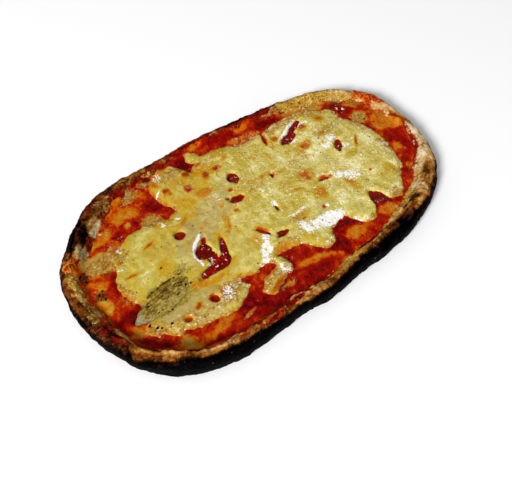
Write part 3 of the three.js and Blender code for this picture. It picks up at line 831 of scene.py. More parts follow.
sauceLayer = {
    "step": 1.15, "margin": 8,  # the lattice's cell, and how far it reaches past the pizza
    "bottom": 0.05, "gap": 0.15, "edge": 0.35, "full": 2.1, "round": 6,  # heights over the dough
    "pulp": ((8, 0.35, 41), (3.8, 0.22, 42), (2.2, 0.1, 43)),
    "warmth": {
        "plain": 0.34, "uneven": ((14, 0.2, 47),), "leafEnd": 0.065, "leafEndFrom": (74, 26),
        "edge": 0.6, "edgeShare": 0.35, "edgeWidth": 4, "edgeUneven": ((9, 0.3, 48),),
        "pulp": ((3.8, 0.16, 42), (8, 0.12, 41)),
    },
    # size of the noise, seed, softest edge and blur of each mask, and how the colours are painted
    "brushes": {"brown": (7, 50, 5, 0.6), "scraps": (5, 49, 6, 1.2), "glints": (7, 50, 5, 0.6)},
    "sides": {"size": 8, "softest": 8, "blur": 1},
    # x, y, half length, half width, turn, colour: 0 maroon, 0.2 deep red, 0.5 red orange,
    # 0.65 orange, 1 beige
    "westEnd": [
        (-146, 47, 5, 4, 0, 0.55), (-132, 45, 12, 4, 0, 0.78), (-128, 38, 14, 9, 0, 0.92),
        (-117, 33, 8, 10, 0, 0.88), (-127, 54, 4, 4, 0, 0.3), (-114, 58, 12, 4, 10, 0.65),
        (-144, 34, 4, 5, 0, 0.16), (-138, 22, 9, 7, 35, 0.5), (-138, 20, 4, 4, 0, 0.74),
        (-128, 16, 12, 4.2, 52, 0.14), (-144, 4, 4, 9, 0, 0.7), (-131, -4, 5, 4, 0, 0.45),
        (-136, -16, 15, 5, 8, -0.04), (-136, -21, 3, 2.5, 0, -0.3), (-137, -33, 8, 5, 0, 0.62),
        (-142, -42, 8, 6, 0, 0.02), (-130, -51, 10, 4, -30, 0.04), (-112, -54, 8, 3.5, -15, 0.18),
        (-116, -61, 12, 7.5, -35, 0.68), (-106, -57, 7, 2.5, -10, 0.3), (-99, -65, 9, 4, 0, 0.64),
        (-85, -63, 8, 4, 0, 0.62), (-104, -72, 14, 2.5, 0, 0.06), (-60, -66, 16, 8, 10, 0.08),
        (-69, -69, 5, 1.2, 10, 0.85),
    ],
    "farSide": [
        (-85, 67, 13, 9, 10, 0.68), (-88, 82, 12, 5, 20, 0.62), (-65, 76, 8, 6, 0, 0.5),
        (-63, 62, 7, 8, 0, 0.12), (-55, 48, 7, 4.5, 0, 0.18), (-60, 55, 3, 2.5, 0, 0),
        (-101, 62, 5, 2, 50, 0.42), (-102, 53, 8, 3.5, 10, 0.12), (-89, 57, 6, 6, 0, 0.28),
        (-89.5, 57, 2.6, 2.6, 0, 0.78), (-83, 57, 2, 4, 0, 0.1), (-73, 49, 8, 7, 0, 0.55),
        (-19, 81, 8, 8, 0, 0), (-13, 94, 11, 3, 0, 0.06), (26, 88, 21, 5, -24, 0.14),
        (5, 92, 9, 3, 0, 0.64), (50, 84, 6, 4, 0, 0.62), (44, 90, 6, 2.5, 0, 0.6),
        (44, 72, 15, 5, -15, 0.6), (78, 86, 19, 4, -8, 0.5), (74, 75, 18, 5, -10, 0.06),
        (112, 72, 28, 10, -18, 0.86), (116, 76, 4, 1.5, 0, 1), (104, 64, 14, 4, -10, 0.84),
        (120, 60, 5, 4, 0, 0.8),
    ],
    "eastEnd": [
        (137, 46, 14, 10, -50, 0.14), (137, 57, 6, 3, 0, 0.5), (147, 46, 3, 4, 0, 0.82),
        (156, 44, 8, 8, -50, 0.82), (162, 34, 4, 4, 0, 0.35), (155, 8, 11, 14, 0, 0.68),
        (144, 25, 6.5, 7.5, 0, 0.95), (140, 8, 1.5, 4, 0, 0.02), (157, 25, 4, 5, 0, 0.5),
        (163, 0, 4, 9, 0, 0.7), (148, -13, 11, 7, 0, 0.18), (149, -26, 5, 6, 20, 0.1),
        (141, -23, 4.5, 7, 0, 0.64), (134, -39, 6, 4, 20, 0.18), (131, -46, 5, 3, 10, 0.64),
        (122, -47, 5, 3, 0, 0.18),
    ],
    "nearSide": [
        (84, -57, 13, 9, 0, 0.1), (80, -66, 9, 4, 0, 0.64), (84, -70, 6, 1.2, 5, 0.9),
        (40, -56, 16, 5, -8, 0.16), (43, -67, 13, 6, 0, 0.62), (42, -65, 7, 3, 0, 0.74),
        (54, -61, 4, 3, 0, 0.3), (23, -69, 9, 8, -20, 0.02), (28, -75, 6, 4, 0, 0.1),
        (-8, -53, 12, 8, 0, 0.28), (-17, -52, 3, 6, 0, 0.16), (8, -60, 4, 4, 0, 0.18),
        (-3, -64, 13, 3, -10, 0.64), (15, -71, 8, 3.5, -40, 0.64), (-9, -74, 19, 5, 3, 0.14),
        (-14, -82, 6, 3, 0, 0.04), (-36, -66, 12, 4, 5, 0.2), (-30, -69, 4, 2, 0, 0.85),
        (-46, -75, 12, 6, 0, 0.06),
    ],
    "underGaps": [
        (-60, -12, 20, 18, 0, 0.08), (80, 49, 22, 8, 15, 0.1), (102, 10, 9, 5, 48, 0.06),
        (6, 41, 8, 7, 0, 0.12), (-65, 20.5, 6, 6, 0, 0.1), (-6.5, 21, 8, 5, 0, 0.1),
        (-2, -30, 8, 5, 0, 0.1),
    ],
    "brown": [  # where it is baked dry
        (154, 44, 7, 6, -50, 0.5), (-143, 13, 5, 5, 0, 0.7), (-144, 34, 4, 5, 0, 0.7),
        (-129, 28, 5, 1.2, -30, 1), (-128, -33, 5, 4, 0, 0.6), (-73, 46, 8, 5, 0, 0.4),
        (-36, -66, 12, 4, 5, 0.5), (-85, -63, 8, 4, 0, 0.4),
    ],
    "scraps": [  # where bits of cheese and dough show through
        (-118, 36, 10, 10, 0, 1), (-132, 38, 9, 7, 0, 0.9), (-134, 50, 5, 3, 20, 0.9),
        (-72, 81, 9, 5, 25, 1), (-51, 85, 10, 5, 0, 0.8), (-73, 48, 10, 8, 0, 0.8),
        (43, 72, 16, 5, -12, 0.45), (72, 69, 10, 3, -5, 0.4), (110, 71, 30, 9, -18, 0.3),
        (143, 25, 8, 8, 0, 0.85), (-30, -69, 8, 3, 5, 0.6), (-69, -69, 6, 1.5, 10, 0.9),
        (-112, 45, 7, 3, 40, 0.7), (-108, 64, 9, 3, 10, 0.6), (-144, 18, 5, 3, 0, 0.4),
        (-130, -3, 4, 7, 0, 0.5), (-52, 66, 5, 9, 0, 0.6), (-22, 74, 6, 4, 0, 0.5),
        (84, -70, 7, 1.5, 5, 0.7), (-137, -34, 8, 4, 0, 0.3),
    ],
    "glints": [  # where painted glints show: pale dots that stand in for highlights on wet oil
        (-60, -12, 18, 14, 0, 0.85), (80, 49, 16, 6, 15, 0.5), (136, 45, 8, 5, 0, 1),
        (114, 74, 24, 7, -18, 0.9), (102, 10, 8, 4, 48, 0.6), (6, 41, 6, 6, 0, 0.4),
        (44, 72, 16, 5, -12, 0.6), (-104, 50, 14, 3, 5, 0.3), (-14, -50, 5, 5, 0, 0.2),
        (84, -60, 10, 8, 0, 0.2),
    ],
}


def sauceTop(x, y):
    # A thin film at the sauce's edge that thickens inwards, with pulp in it.
    full = ease(sauceField(x, y) / sauceLayer["round"])
    thick = sauceLayer["edge"] + (sauceLayer["full"] - sauceLayer["edge"]) * full
    pulp = summed(lumps, (x, y, 0), sauceLayer["pulp"])
    return doughTop(x, y) + sauceLayer["gap"] + thick + pulp * full


def makeSauce():
    # A slab over the sauce's field, from just over the dough to its top. Its colour comes from the
    # ovals, and is warmer at the leaf's end, at its own edge and on the pulp.
    margin = sauceLayer["margin"]
    reachX, reachY = outline["halfLength"] + margin, outline["halfWidth"] + margin
    x, y, index, inside = sheetLattice(sauceField, sauceLayer["step"], reachX, reachY)
    bottom = doughTop(x, y) + sauceLayer["bottom"]
    piece = slabMesh("sauceLayer", x, y, sauceTop(x, y), bottom, index, inside)
    warm = sauceLayer["warmth"]
    warmth = warm["plain"] + summed(rough, (x, y, 0), warm["uneven"])
    for side in ("westEnd", "farSide", "eastEnd", "nearSide", "underGaps"):
        warmth = layered(x, y, warmth, sauceLayer[side], **sauceLayer["sides"])
    warmth = warmth + warm["leafEnd"] * rise(-x, *warm["leafEndFrom"])
    edge = 1 - ease(sauceField(x, y) / warm["edgeWidth"] + summed(rough, (x, y, 0), warm["edgeUneven"]))
    warmth = warmth + (warm["edge"] - warmth) * warm["edgeShare"] * edge
    warmth = warmth + summed(lumps, (x, y, 0), warm["pulp"])
    masks = {"warmth": warmth}
    for name, brushed in sauceLayer["brushes"].items():
        masks[name] = patches(x, y, sauceLayer[name], *brushed)
    setSlabMasks(piece, masks)
    return piece


sauceLook = {
    "shader": {"Roughness": 0.12, "Specular IOR Level": 0.2},
    "grains": {"fine": (1.6, 4, 0.65), "mid": (4.2, 6, 0.7, 0.8), "wide": (14,),
               "crumbs": (2.6, 6, 0.75, 0.5), "paintedGlints": (2.8, 2, 0.5, 0.6)},
    "warmth": {"fine": 0.45, "mid": 1, "wide": 0.5},
    "crumbs": {"mid": 0.8},
    # the limits that pick a noise's peaks as painted glints, their pale colour, and then the bump depths
    "paintedGlints": (0.62, 0.66), "paintedGlintColour": (255, 232, 222), "depths": (1, 0.6, 0.7),
    "shows": {
        "brown": (0.42, 0.66, {"mid": 1.2, "fine": 1.2}), "scraps": (0.35, 0.75, {"fine": 1.6, "mid": 1.2}),
    },
    "bands": {
        "warmth": [
            (0, (92, 4, 5)), (0.12, (128, 7, 4)), (0.3, (160, 16, 3)), (0.46, (182, 48, 3)),
            (0.6, (206, 96, 2)), (0.78, (196, 134, 24)), (1, (188, 152, 78)),
        ],
        "brown": [(0.35, (34, 14, 6)), (0.5, (104, 50, 14)), (0.65, (150, 96, 34))],
        "scraps": [
            (0.3, (138, 58, 14)), (0.4, (162, 100, 30)), (0.5, (178, 134, 50)), (0.6, (192, 158, 82)),
            (0.72, (234, 218, 176)),
        ],
    },
}


def sauceFinish():
    # Red to orange sauce, with browned spots, scraps of cheese, and painted glints: pale dots for
    # highlights on oil.
    look = sauceLook
    finish, tree, shader = newFinish("sauceFinish", look["shader"])
    noises = grains(tree, look)
    brown, scraps = shown(tree, noises, look, "brown"), shown(tree, noises, look, "scraps")
    warmth = stirred(tree, noises, mask(tree, "warmth"), look["warmth"])
    crumbs = stirred(tree, noises, noises["crumbs"], look["crumbs"])
    # Painted glints: the noise's peaks, where the glints mask allows, painted pale as highlights.
    paintedGlints = times(tree, window(tree, noises["paintedGlints"], *look["paintedGlints"]), mask(tree, "glints"))
    colour = ramp(tree, warmth, look["bands"]["warmth"])
    colour = coat(tree, colour, brown, noises["fine"], look, "brown")
    colour = coat(tree, colour, scraps, crumbs, look, "scraps")
    colour = blend(tree, paintedGlints, colour, paint(*look["paintedGlintColour"]))
    tree.links.new(colour, shader.inputs["Base Color"])
    heights, strengths = (noises["mid"], noises["fine"], noises["crumbs"]), (1, 1, scraps)
    bump(tree, shader, zip(heights, look["depths"], strengths))
    return finish


print("tomato sauce")
dress(makeSauce(), sauceFinish(), "tomato_sauce")


# --- mozzarella ---

leaf = {
    "x": -111.5, "y": -19.6, "long": 26, "wide": 10.6, "turn": 189, "thick": 0.8, "bed": 0.8,
    "roundness": 0.7, "taper": 0.28, "rows": 110, "columns": 44, "bedMargin": 2,
    "ends": 0.02, "frill": 0.05, "frillTurns": 23, "lift": 0.12, "crease": 0.2, "thinnest": 0.25,
    "ripple": 0.1, "rippleTurns": 5.5, "rippleSlant": 0.35, "veinDepth": 0.07, "veinGap": 5.5,
    "veinSlant": 1.5, "noises": ((5, 0.16, 97),),
}

cheese = {
    "step": 0.92, "reachX": 145, "reachY": 98,  # the lattice's cell and half its sides
    "bottom": 0.02, "gap": 0.1, "edge": 0.15, "full": 2,  # heights over the sauce
    "round": 12, "gapRound": 1.4, "nearGap": (-9, 6),  # how far in it thickens, and where gaps count
    "swells": ((23, 0.5, 32), (9, 0.2, 33)), "swellEdge": 5, "ripples": ((6, 0.12, 91), (3, 0.08, 92)),
    "plain": 0.34, "uneven": ((18, 0.08, 94),),  # its colour at the leaf's end
    "paler": 0.18, "palerFrom": (-110, 220),  # how much paler it is at the other end
    "edgeWarmth": 0.14, "edgeToast": 0.5, "edgeMottle": 0.6, "edgeWidth": 6, "edgeOffGap": 5,
    "edgeShare": 0.4, "edgeUneven": ((12, 1.6, 99),),
    "thinWidth": 2.6, "thinOffGap": 3, "thinUneven": ((5, 0.35, 95),),
    "livelyEast": (-50, 70), "livelyNear": (36, 8),  # where it bubbles most and shows most painted sparkles
    "meltBrush": {"size": 5},
    "brushes": {  # size of the noise, seed, softest edge and blur of each mask
        "toast": (4, 98, 5, 1.5), "pink": (9, 50, 5, 1.2), "oily": (9, 92, 12, 2), "olive": (8, 93, 8, 1.5),
        "mottle": (8, 93, 8, 1.5), "white": (6, 96, 6, 1.6),
    },
    "melt": [  # x, y, half length, half width, turn, colour: 0 white, 0.3 khaki, 0.5 yellow, 0.7 orange
        (-32, 58, 24, 13, 0, 0.44), (-38, 82, 20, 10, 0, 0.6), (-91, 1, 7, 8, 20, 0.48),
        (-42, 36, 9, 12, 0, 0.46), (-55, 29, 10, 1.6, 38, 0.66), (-58.5, 34, 3, 2.5, 0, 0.02),
        (-23, 43, 7, 5, 0, 0.74), (-36, 57, 5, 5, 0, 0.3), (-81, -27, 7, 4, 0, 0.64),
        (-52, -27, 9, 4, 0, 0.56), (-68, -31, 7, 2.5, 0, 0.72), (-28, 8, 11, 2.6, 65, 0.64),
        (-8, 65, 16, 5, 0, 0.56), (14, 74, 8, 6, 0, 0.5), (15, 64, 4, 2.5, 30, 0.72),
        (-2, 59, 5, 4, 0, 0.6), (78, 29, 8, 5, 0, 0.6), (69, 24, 3, 8, 0, 0.56),
        (41, 20, 7, 2.2, 0, 0.52), (50, -20, 6, 6.5, -40, 0.62), (77, -30, 3.5, 8, 10, 0.62),
        (115, -38, 5, 7, 0, 0.44), (101, -5, 7, 4, 0, 0.42), (45.5, 42, 2, 6, 0, 0.54),
        (27, 25, 5, 3, 0, 0.52), (-65, 42, 10, 4, 8, 0.5), (-12, -42, 9, 4, 0, 0.62),
        (20, -28, 8, 3, 0, 0.5), (54, 3, 10, 6, 0, 0.5), (37, -5, 6, 2, -17, 0.6),
        (117, 4, 8, 2, 48, 0.5), (92, 47, 6, 5, 0, 0.5), (112, 47, 6, 5, 0, 0.52),
        (104, 62, 12, 3, -10, 0.5), (-89, 28, 8, 2.6, 12, 0.5), (-113, 12, 8, 2.6, -8, 0.54),
        (-56, 12, 24, 14, 20, 0.28),
    ],
    "toast": [  # x, y, half length, half width, turn, how browned
        (-89.5, 28, 6, 1.4, 12, 0.85), (-116, 12.5, 6, 1.3, -10, 0.8), (-71, -31.5, 5.5, 2, -25, 0.5),
        (-94, -41, 4, 2.2, 20, 0.9), (-106, -45, 3, 2.4, 0, 1), (-81, -43, 4.2, 4.2, 0, 1),
        (-72, -42, 2.5, 2, 0, 0.9), (-46, 65, 3.5, 3, 0, 0.95), (-45, 60, 2, 2, 0, 0.7),
        (-30.5, 55, 3.5, 5, 0, 1), (-22, 70, 4, 3.5, 0, 0.95), (-10, 58, 4.5, 3, 60, 1),
        (2, 59, 4.5, 3, 0, 0.95), (15, 64, 4, 2, 30, 0.5), (-7, 73, 4, 2, 0, 0.8),
        (-5, 31, 2.2, 2.2, 0, 0.95), (-29, 3, 6, 1.3, 63, 0.6), (-15, 11, 2.4, 2, 0, 0.8),
        (26, 26, 3, 2, 30, 0.6), (-12.5, -17, 6, 1.8, -63, 0.9), (-23, -23, 1.8, 1.8, 0, 0.7),
        (57, 58, 7, 1.8, 68, 1), (64, 53, 3.4, 3.4, 0, 0.75), (92, 48, 4, 3, 0, 0.85),
        (78, 29, 5, 3.5, 0, 0.8), (82, 31, 2.5, 2, 0, 0.6), (112, 47, 4, 3, 0, 0.75),
        (34, 22, 2.6, 1.6, 50, 1), (54, 4, 6, 4, 0, 0.7), (53, -1, 2, 2.5, 0, 0.8),
        (37, -4.5, 5, 1.4, -17, 0.6), (64.5, -9, 4, 2, -35, 1), (70, -11, 3, 1, -20, 0.8),
        (117, 4.5, 6, 1, 48, 0.9), (100, -29, 1.3, 1.3, 0, 0.9), (20.5, -31, 2.5, 1.2, 0, 0.9),
        (41, -33, 2, 1.6, 40, 1), (-12, -42, 8, 3.5, 0, 0.55), (-36, -64, 12, 2.5, 15, 0.8),
        (77, -27, 2, 5, 20, 0.5), (-85, -24, 4, 2, 30, 0.5), (-33, 12, 1.5, 1.5, 0, 0.4),
        (101, 31, 3, 2.5, 0, 0.6), (-25, 45, 2, 1.5, 0, 0.5), (-40, 88, 12, 4, 0, 0.6),
        (-49, 78, 3, 5, 0, 0.6),
    ],
    "pink": [  # where sauce shows through it
        (106, 31, 19, 6, 0, 0.6), (-56, 12, 24, 14, 20, 0.8), (-28, 24, 24, 14, 20, 0.7),
        (-1, 40, 9, 8, 0, 0.6), (20, 20, 15, 9, 0, 0.4), (-100, -42, 25, 7, -8, 0.6),
        (-125, 2, 5, 16, 0, 0.6), (60, 20, 12, 8, 0, 0.5), (41, -33, 6, 6, 0, 0.9),
        (-85, 22, 14, 14, 0, 0.4), (-108, -37, 24, 7, -4, 1), (-84, -38, 12, 8, 0, 0.7),
        (-92, -50, 16, 6, 0, 0.8), (-72, -8, 6, 10, 0, 0.6),
    ],
    "oily": [  # where small marks of orange oil lie
        (-30, 32, 52, 40, 0, 1), (45, 42, 60, 28, 0, 0.8), (60, 0, 40, 24, 0, 0.7),
        (-62, -28, 26, 7, 5, 1.2), (-90, 8, 30, 24, 0, 0.5), (110, 0, 26, 40, 0, 0.6),
    ],
    "olive": [  # where the leaf has stained it
        (-87, -8, 9, 5, 25, 0.9), (-80, -11, 6, 3, 20, 0.5), (-108, -8, 14, 1.6, 5, 0.8),
        (-112, -30, 18, 3, 5, 0.6), (-86, -22, 8, 3, 20, 0.6), (-122, -16, 8, 3, 40, 0.9),
        (-118, -12, 8, 4, 20, 0.6), (-96, -28, 14, 4, 5, 0.7),
    ],
    "mottle": [  # where brown, ochre and cream mix
        (-42, 62, 15, 13, 0, 0.4), (-34, 82, 20, 10, 0, 0.9), (-5, 72, 14, 6, 0, 0.6),
        (44, 70, 18, 6, -10, 0.8), (104, 31, 15, 6, 0, 0.6), (112, 58, 16, 7, -20, 0.8),
        (-68, -46, 13, 9, 20, 1), (-102, -46, 30, 8, -12, 0.6), (-128, -37, 8, 8, 0, 0.9),
        (-36, -60, 17, 9, 15, 0.8), (-116, 36, 12, 11, 0, 1), (-128, 0, 5, 20, 0, 0.9),
        (-70, 44, 12, 5, 0, 0.8), (53, 2, 9, 6, 0, 0.5), (20, -26, 12, 4, 0, 0.7),
        (76, -27, 4, 9, 20, 0.6), (-10, -42, 12, 7, 0, 0.8), (134, 22, 5, 16, 0, 0.7),
        (82, 63, 24, 5, 3, 0.9), (100, -60, 12, 5, 0, 0.8), (62, -66, 12, 4, 0, 0.7),
        (20, -63, 12, 4, 0, 0.7), (134, -18, 4, 16, 0, 0.8), (75, 34, 10, 5, 0, 0.4),
        (-50, -48, 12, 4, 0, 0.6), (58, 16, 14, 6, 0, 0.3), (2, -50, 6, 8, 0, 0.6),
        (124, -38, 4, 8, -30, 0.4),
    ],
    "white": [  # where the cheese is pale, smooth and wet with oil; its near white is also painted glare, a painted highlight
        (-15, -25, 6, 3.5, 50, 0.9), (-22, -34, 7, 4.5, 60, 1), (-29, -41, 8, 3.5, 50, 1),
        (-36, -47, 4, 2, 20, 1), (15.5, -38, 4, 8, 0, 1.1), (34, -44, 17, 7, -10, 1.1),
        (22, -22.5, 11, 1.6, 0, 0.9), (81, -20, 12, 5, -40, 1), (90, 17, 7, 4, 0, 1.1),
        (102, 21, 5, 3.5, 10, 1.2), (106, 5, 2.5, 3, 0, 1), (80, 54.5, 12, 1.2, 22, 1.8),
        (93, 52, 6, 1, 18, 1), (75, 39.5, 4, 1.2, 0, 1.1), (99, 51, 3, 1.5, 0, 1),
        (74, -6.5, 6, 2, 0, 0.9), (45, 6, 5, 4, 0, 0.6), (132, -14.5, 3, 2.5, 0, 0.9),
        (56, -36, 2, 3, 0, 0.9), (-23, -58, 4, 7, 0, 0.7), (-70, -46, 8, 4.5, 45, 0.8),
        (-56, -44, 3, 2, 0, 1.1), (12, -3.5, 2, 4, 20, 1.1), (-66.5, 0, 4, 0.9, 64, 2),
        (-63, 4, 4.5, 1.1, 48, 2), (-57.5, 7.5, 5.5, 1.1, 34, 2), (-69, -6, 4, 0.9, 84, 1.6),
        (-69, -13, 3.5, 0.9, 70, 1.2), (-51, -12, 3, 0.8, 55, 1.2), (-65, -17, 1.6, 1, 0, 1.2),
        (60, -22, 6, 2, 30, 0.5), (-53, 67, 5, 0.9, 35, 1.1), (-43, 82, 4, 7, -20, 0.4),
        (-56, 35, 2.4, 1.6, -40, 1.2), (-110, 41, 1.4, 6, 0, 0.9), (-119, 22, 3, 1.4, 0, 0.9),
        (-69, 38, 2.4, 4, 0, 0.8), (48, 69, 10, 2, -10, 0.6), (66, 67, 8, 1.6, 10, 0.7),
        (15, 27, 2, 1.6, 0, 1), (14, 14, 1.6, 2.4, 0, 1), (50, 12, 2, 1.6, 0, 0.9),
        (75, 19, 4, 2, 0, 0.6), (85, 6, 2, 1.5, 0, 0.9), (-18, 32, 4, 5, 0, 0.6),
        (44.5, -33, 1.2, 1.6, 0, 1.2), (93, 66, 8, 1.4, -5, 0.5), (18, -60, 8, 1.6, 10, 0.5),
        (54, -60, 3, 4, 0, 0.7), (60, 10, 30, 20, 0, 0.16), (10, 30, 30, 14, 0, 0.1),
    ],
}


def leafPlace(x, y):
    # u runs from -1 at the stalk to 1 at the tip, and v is the distance across in millimetres.
    along, v = turnedBy(x - leaf["x"], y - leaf["y"], -leaf["turn"])
    return along / leaf["long"], v


def leafHalfWidth(u):
    # A rounded lens, wider towards the stalk.
    return leaf["wide"] * np.maximum(0, 1 - u * u) ** leaf["roundness"] * (1 - leaf["taper"] * u)


def leafBed(x, y):
    # The hollow that the leaf has pressed into the cheese: its outline, with a soft margin.
    u, v = leafPlace(x, y)
    margin = leaf["bedMargin"]
    along = ease(((1 - np.abs(u)) * leaf["long"] + margin) / (2 * margin))
    across = ease((leafHalfWidth(np.clip(u, -1, 1)) + margin - np.abs(v)) / (2 * margin))
    return leaf["bed"] * along * across


def cheeseTop(x, y):
    # A thin edge that thickens slowly inwards, steeper round the gaps, with swells and ripples,
    # less the leaf's bed.
    field = cheeseField(x, y)
    outer = 1 - (1 - np.clip(field / cheese["round"], 0, 1)) ** 2
    inner = 1 - (1 - np.clip(field / cheese["gapRound"], 0, 1)) ** 2
    lip = outer + (inner - outer) * rise(-gapField(x, y), *cheese["nearGap"])
    swell = summed(relief, (x, y), cheese["swells"]) * ease(field / cheese["swellEdge"])
    ripple = summed(lumps, (x, y, 0), cheese["ripples"])
    thick = cheese["edge"] + (cheese["full"] - cheese["edge"]) * lip
    return sauceTop(x, y) + cheese["gap"] + thick + lip * (swell + ripple) - leafBed(x, y)


def makeCheese():
    # A slab over the cheese's field, from just over the sauce to its top, with ovals for each of
    # its colours, and its outer edge warmer, browner and thin enough to show the sauce.
    x, y, index, inside = sheetLattice(cheeseField, cheese["step"], cheese["reachX"], cheese["reachY"])
    bottom = sauceTop(x, y) + cheese["bottom"]
    piece = slabMesh("cheeseSheet", x, y, cheeseTop(x, y), bottom, index, inside)
    field, fromGap = cheeseField(x, y), gapField(x, y)
    place = (x, y, 0)
    outerEdge = ease(1 - field / cheese["edgeWidth"]) * ease(fromGap / cheese["edgeOffGap"])
    uneven = ease(cheese["edgeShare"] + summed(rough, place, cheese["edgeUneven"]))
    plain = cheese["plain"] - cheese["paler"] * rise(x, *cheese["palerFrom"])
    plain = plain + summed(rough, place, cheese["uneven"])
    level = layered(x, y, plain, cheese["melt"], **cheese["meltBrush"])
    masks = {name: patches(x, y, cheese[name], *brushed) for name, brushed in cheese["brushes"].items()}
    masks["melt"] = level + cheese["edgeWarmth"] * outerEdge * uneven
    masks["toast"] = np.maximum(masks["toast"], cheese["edgeToast"] * outerEdge * uneven)
    masks["mottle"] = np.maximum(masks["mottle"], cheese["edgeMottle"] * outerEdge)
    thick = ease(field / cheese["thinWidth"] + summed(rough, place, cheese["thinUneven"]))
    masks["thin"] = (1 - thick) * ease(fromGap / cheese["thinOffGap"])
    masks["lively"] = rise(x, *cheese["livelyEast"]) + rise(-y, *cheese["livelyNear"])
    setSlabMasks(piece, masks)
    return piece


cheeseLook = {
    "shader": {"Subsurface Weight": 0.05, "Subsurface Scale": 1.2 * mm, "Subsurface Radius": (1, 0.7, 0.25),
               "Specular IOR Level": 0.3},
    "roughness": (0.13, 0.08),  # where it is dry and where it is wet with oil
    "grains": {"fine": (1.3, 4, 0.65), "mid": (4.5, 6, 0.65, 0.7), "wide": (17, 4),
               "small": (2.6, 6, 0.72, 0.5), "flakes": (7, 4, 0.55, 1.6), "sparkle": (2, 1.5)},
    "melt": {"fine": 0.4, "mid": 0.75, "wide": 0.9},
    "toast": {"mid": 0.7, "fine": 0.5}, "browned": (0.1, 0.5),
    # the second pair of limits picks the painted sparkles: small near-white dots that stand in for glints
    "flakes": (0.56, 0.64), "paintedSparkles": (0.66, 0.71), "livelyBumps": (0.2, 1), "depths": (0.4, 0.6, 0.8),
    # the near white colour on this line is pale cheese and painted glare, a painted highlight
    "pinkShare": 0.75, "thinShare": 0.7, "pinkColour": (178, 155, 96), "paleAndGlareColour": (255, 254, 246),
    "shows": {
        "pink": (0.25, 0.95, {"mid": 1.4, "fine": 0.6}), "mottle": (0.3, 0.8, {"mid": 1.4, "fine": 1.2}),
        "olive": (0.35, 0.8, {"mid": 1.6, "fine": 1.4}), "thin": (0.2, 0.9, {"mid": 1.2, "fine": 0.8}),
        "white": (0.5, 0.95, {"fine": 2.6, "small": 2.6}),
    },
    "bands": {
        "melt": [
            (0, (240, 230, 172)), (0.12, (218, 200, 110)), (0.28, (197, 178, 76)), (0.42, (195, 163, 44)),
            (0.56, (198, 148, 16)), (0.74, (194, 122, 6)), (1, (166, 82, 6)),
        ],
        "toast": [
            (0.15, (206, 162, 34)), (0.4, (198, 136, 18)), (0.65, (182, 94, 6)), (0.88, (162, 60, 3)),
            (1, (136, 30, 2)),
        ],
        "mottle": [
            (0.3, (124, 48, 8)), (0.4, (162, 98, 22)), (0.49, (184, 142, 48)), (0.58, (204, 178, 96)),
            (0.69, (246, 238, 206)),
        ],
        "oily": [(0.35, (184, 104, 8)), (0.5, (198, 140, 14)), (0.65, (210, 172, 44))],
        "thin": [(0.34, (140, 34, 8)), (0.48, (182, 100, 24)), (0.64, (208, 164, 80))],
        "olive": [
            (0.3, (78, 52, 12)), (0.4, (120, 92, 24)), (0.52, (154, 130, 48)), (0.66, (184, 166, 86)),
        ],
    },
}


def cheeseFinish():
    # Melted cheese from white to orange. Over it come the sauce's pink, oil, cream and brown mottle,
    # the leaf's olive, toasted spots, the thin edge, and near white where it is wet: partly pale cheese,
    # partly painted glare.
    look = cheeseLook
    finish, tree, shader = newFinish("cheeseFinish", look["shader"])
    noises = grains(tree, look)
    small, lively = noises["small"], mask(tree, "lively")
    pink, mottle, olive, thin, white = (shown(tree, noises, look, name) for name in look["shows"])
    level = stirred(tree, noises, mask(tree, "melt"), look["melt"])
    flakes = times(tree, window(tree, noises["flakes"], *look["flakes"]), mask(tree, "oily"))
    toast = stirred(tree, noises, mask(tree, "toast"), look["toast"])
    browned = window(tree, toast, *look["browned"])
    calm = math(tree, "SUBTRACT", 1, browned)
    # Painted sparkles: a noise's peaks as near-white dots, more where it is lively, kept off toasted spots.
    paintedSparkles = times(tree, window(tree, noises["sparkle"], *look["paintedSparkles"]), lively)
    white = math(tree, "MAXIMUM", white, times(tree, paintedSparkles, calm))
    colour = ramp(tree, level, look["bands"]["melt"])
    colour = blend(tree, times(tree, pink, look["pinkShare"]), colour, paint(*look["pinkColour"]))
    colour = coat(tree, colour, flakes, small, look, "oily")
    colour = coat(tree, colour, mottle, small, look, "mottle")
    colour = coat(tree, colour, olive, small, look, "olive")
    colour = coat(tree, colour, browned, toast, look, "toast")
    colour = coat(tree, colour, times(tree, thin, look["thinShare"]), small, look, "thin")
    # Near white laid over all: pale wet cheese, painted glare and painted sparkles.
    colour = blend(tree, white, colour, paint(*look["paleAndGlareColour"]))
    tree.links.new(colour, shader.inputs["Base Color"])
    tree.links.new(span(tree, white, *look["roughness"]), shader.inputs["Roughness"])
    beading = times(tree, span(tree, lively, *look["livelyBumps"]), calm)
    heights, strengths = (noises["mid"], noises["sparkle"], small), (calm, beading, mottle)
    bump(tree, shader, zip(heights, look["depths"], strengths))
    return finish


print("mozzarella")
dress(makeCheese(), cheeseFinish(), "mozzarella")


# --- basil leaf ---

leafLook = {
    "shader": {"Roughness": 0.4, "Specular IOR Level": 0.14},
    "grains": {"fine": (1.6, 4), "mid": (5, 4)},
    "stretch": (1.3, 3.6, 1), "streaks": {"Scale": 1.5, "Detail": 5},  # noise drawn out along the leaf
    "bumps": {"streaks": 0.3, "fine": 0.15},  # depths in millimetres
    "dark": {"streaks": 0.5, "fine": 0.8, "mid": 0.6},
    "pale": (-0.3, 0.6, {"mid": 1.8, "fine": 1.2}), "tip": (0.5, 0.95, {"mid": 0.8}),
    "bands": {
        "dark": [
            (0.2, (70, 48, 10)), (0.36, (102, 76, 16)), (0.5, (128, 102, 28)), (0.64, (152, 130, 48)),
            (0.8, (182, 164, 86)),
        ],
        "pale": [(0.3, (120, 94, 32)), (0.6, (176, 156, 76))],
        "tip": [(0.3, (124, 104, 66)), (0.6, (176, 166, 128))],
    },
}


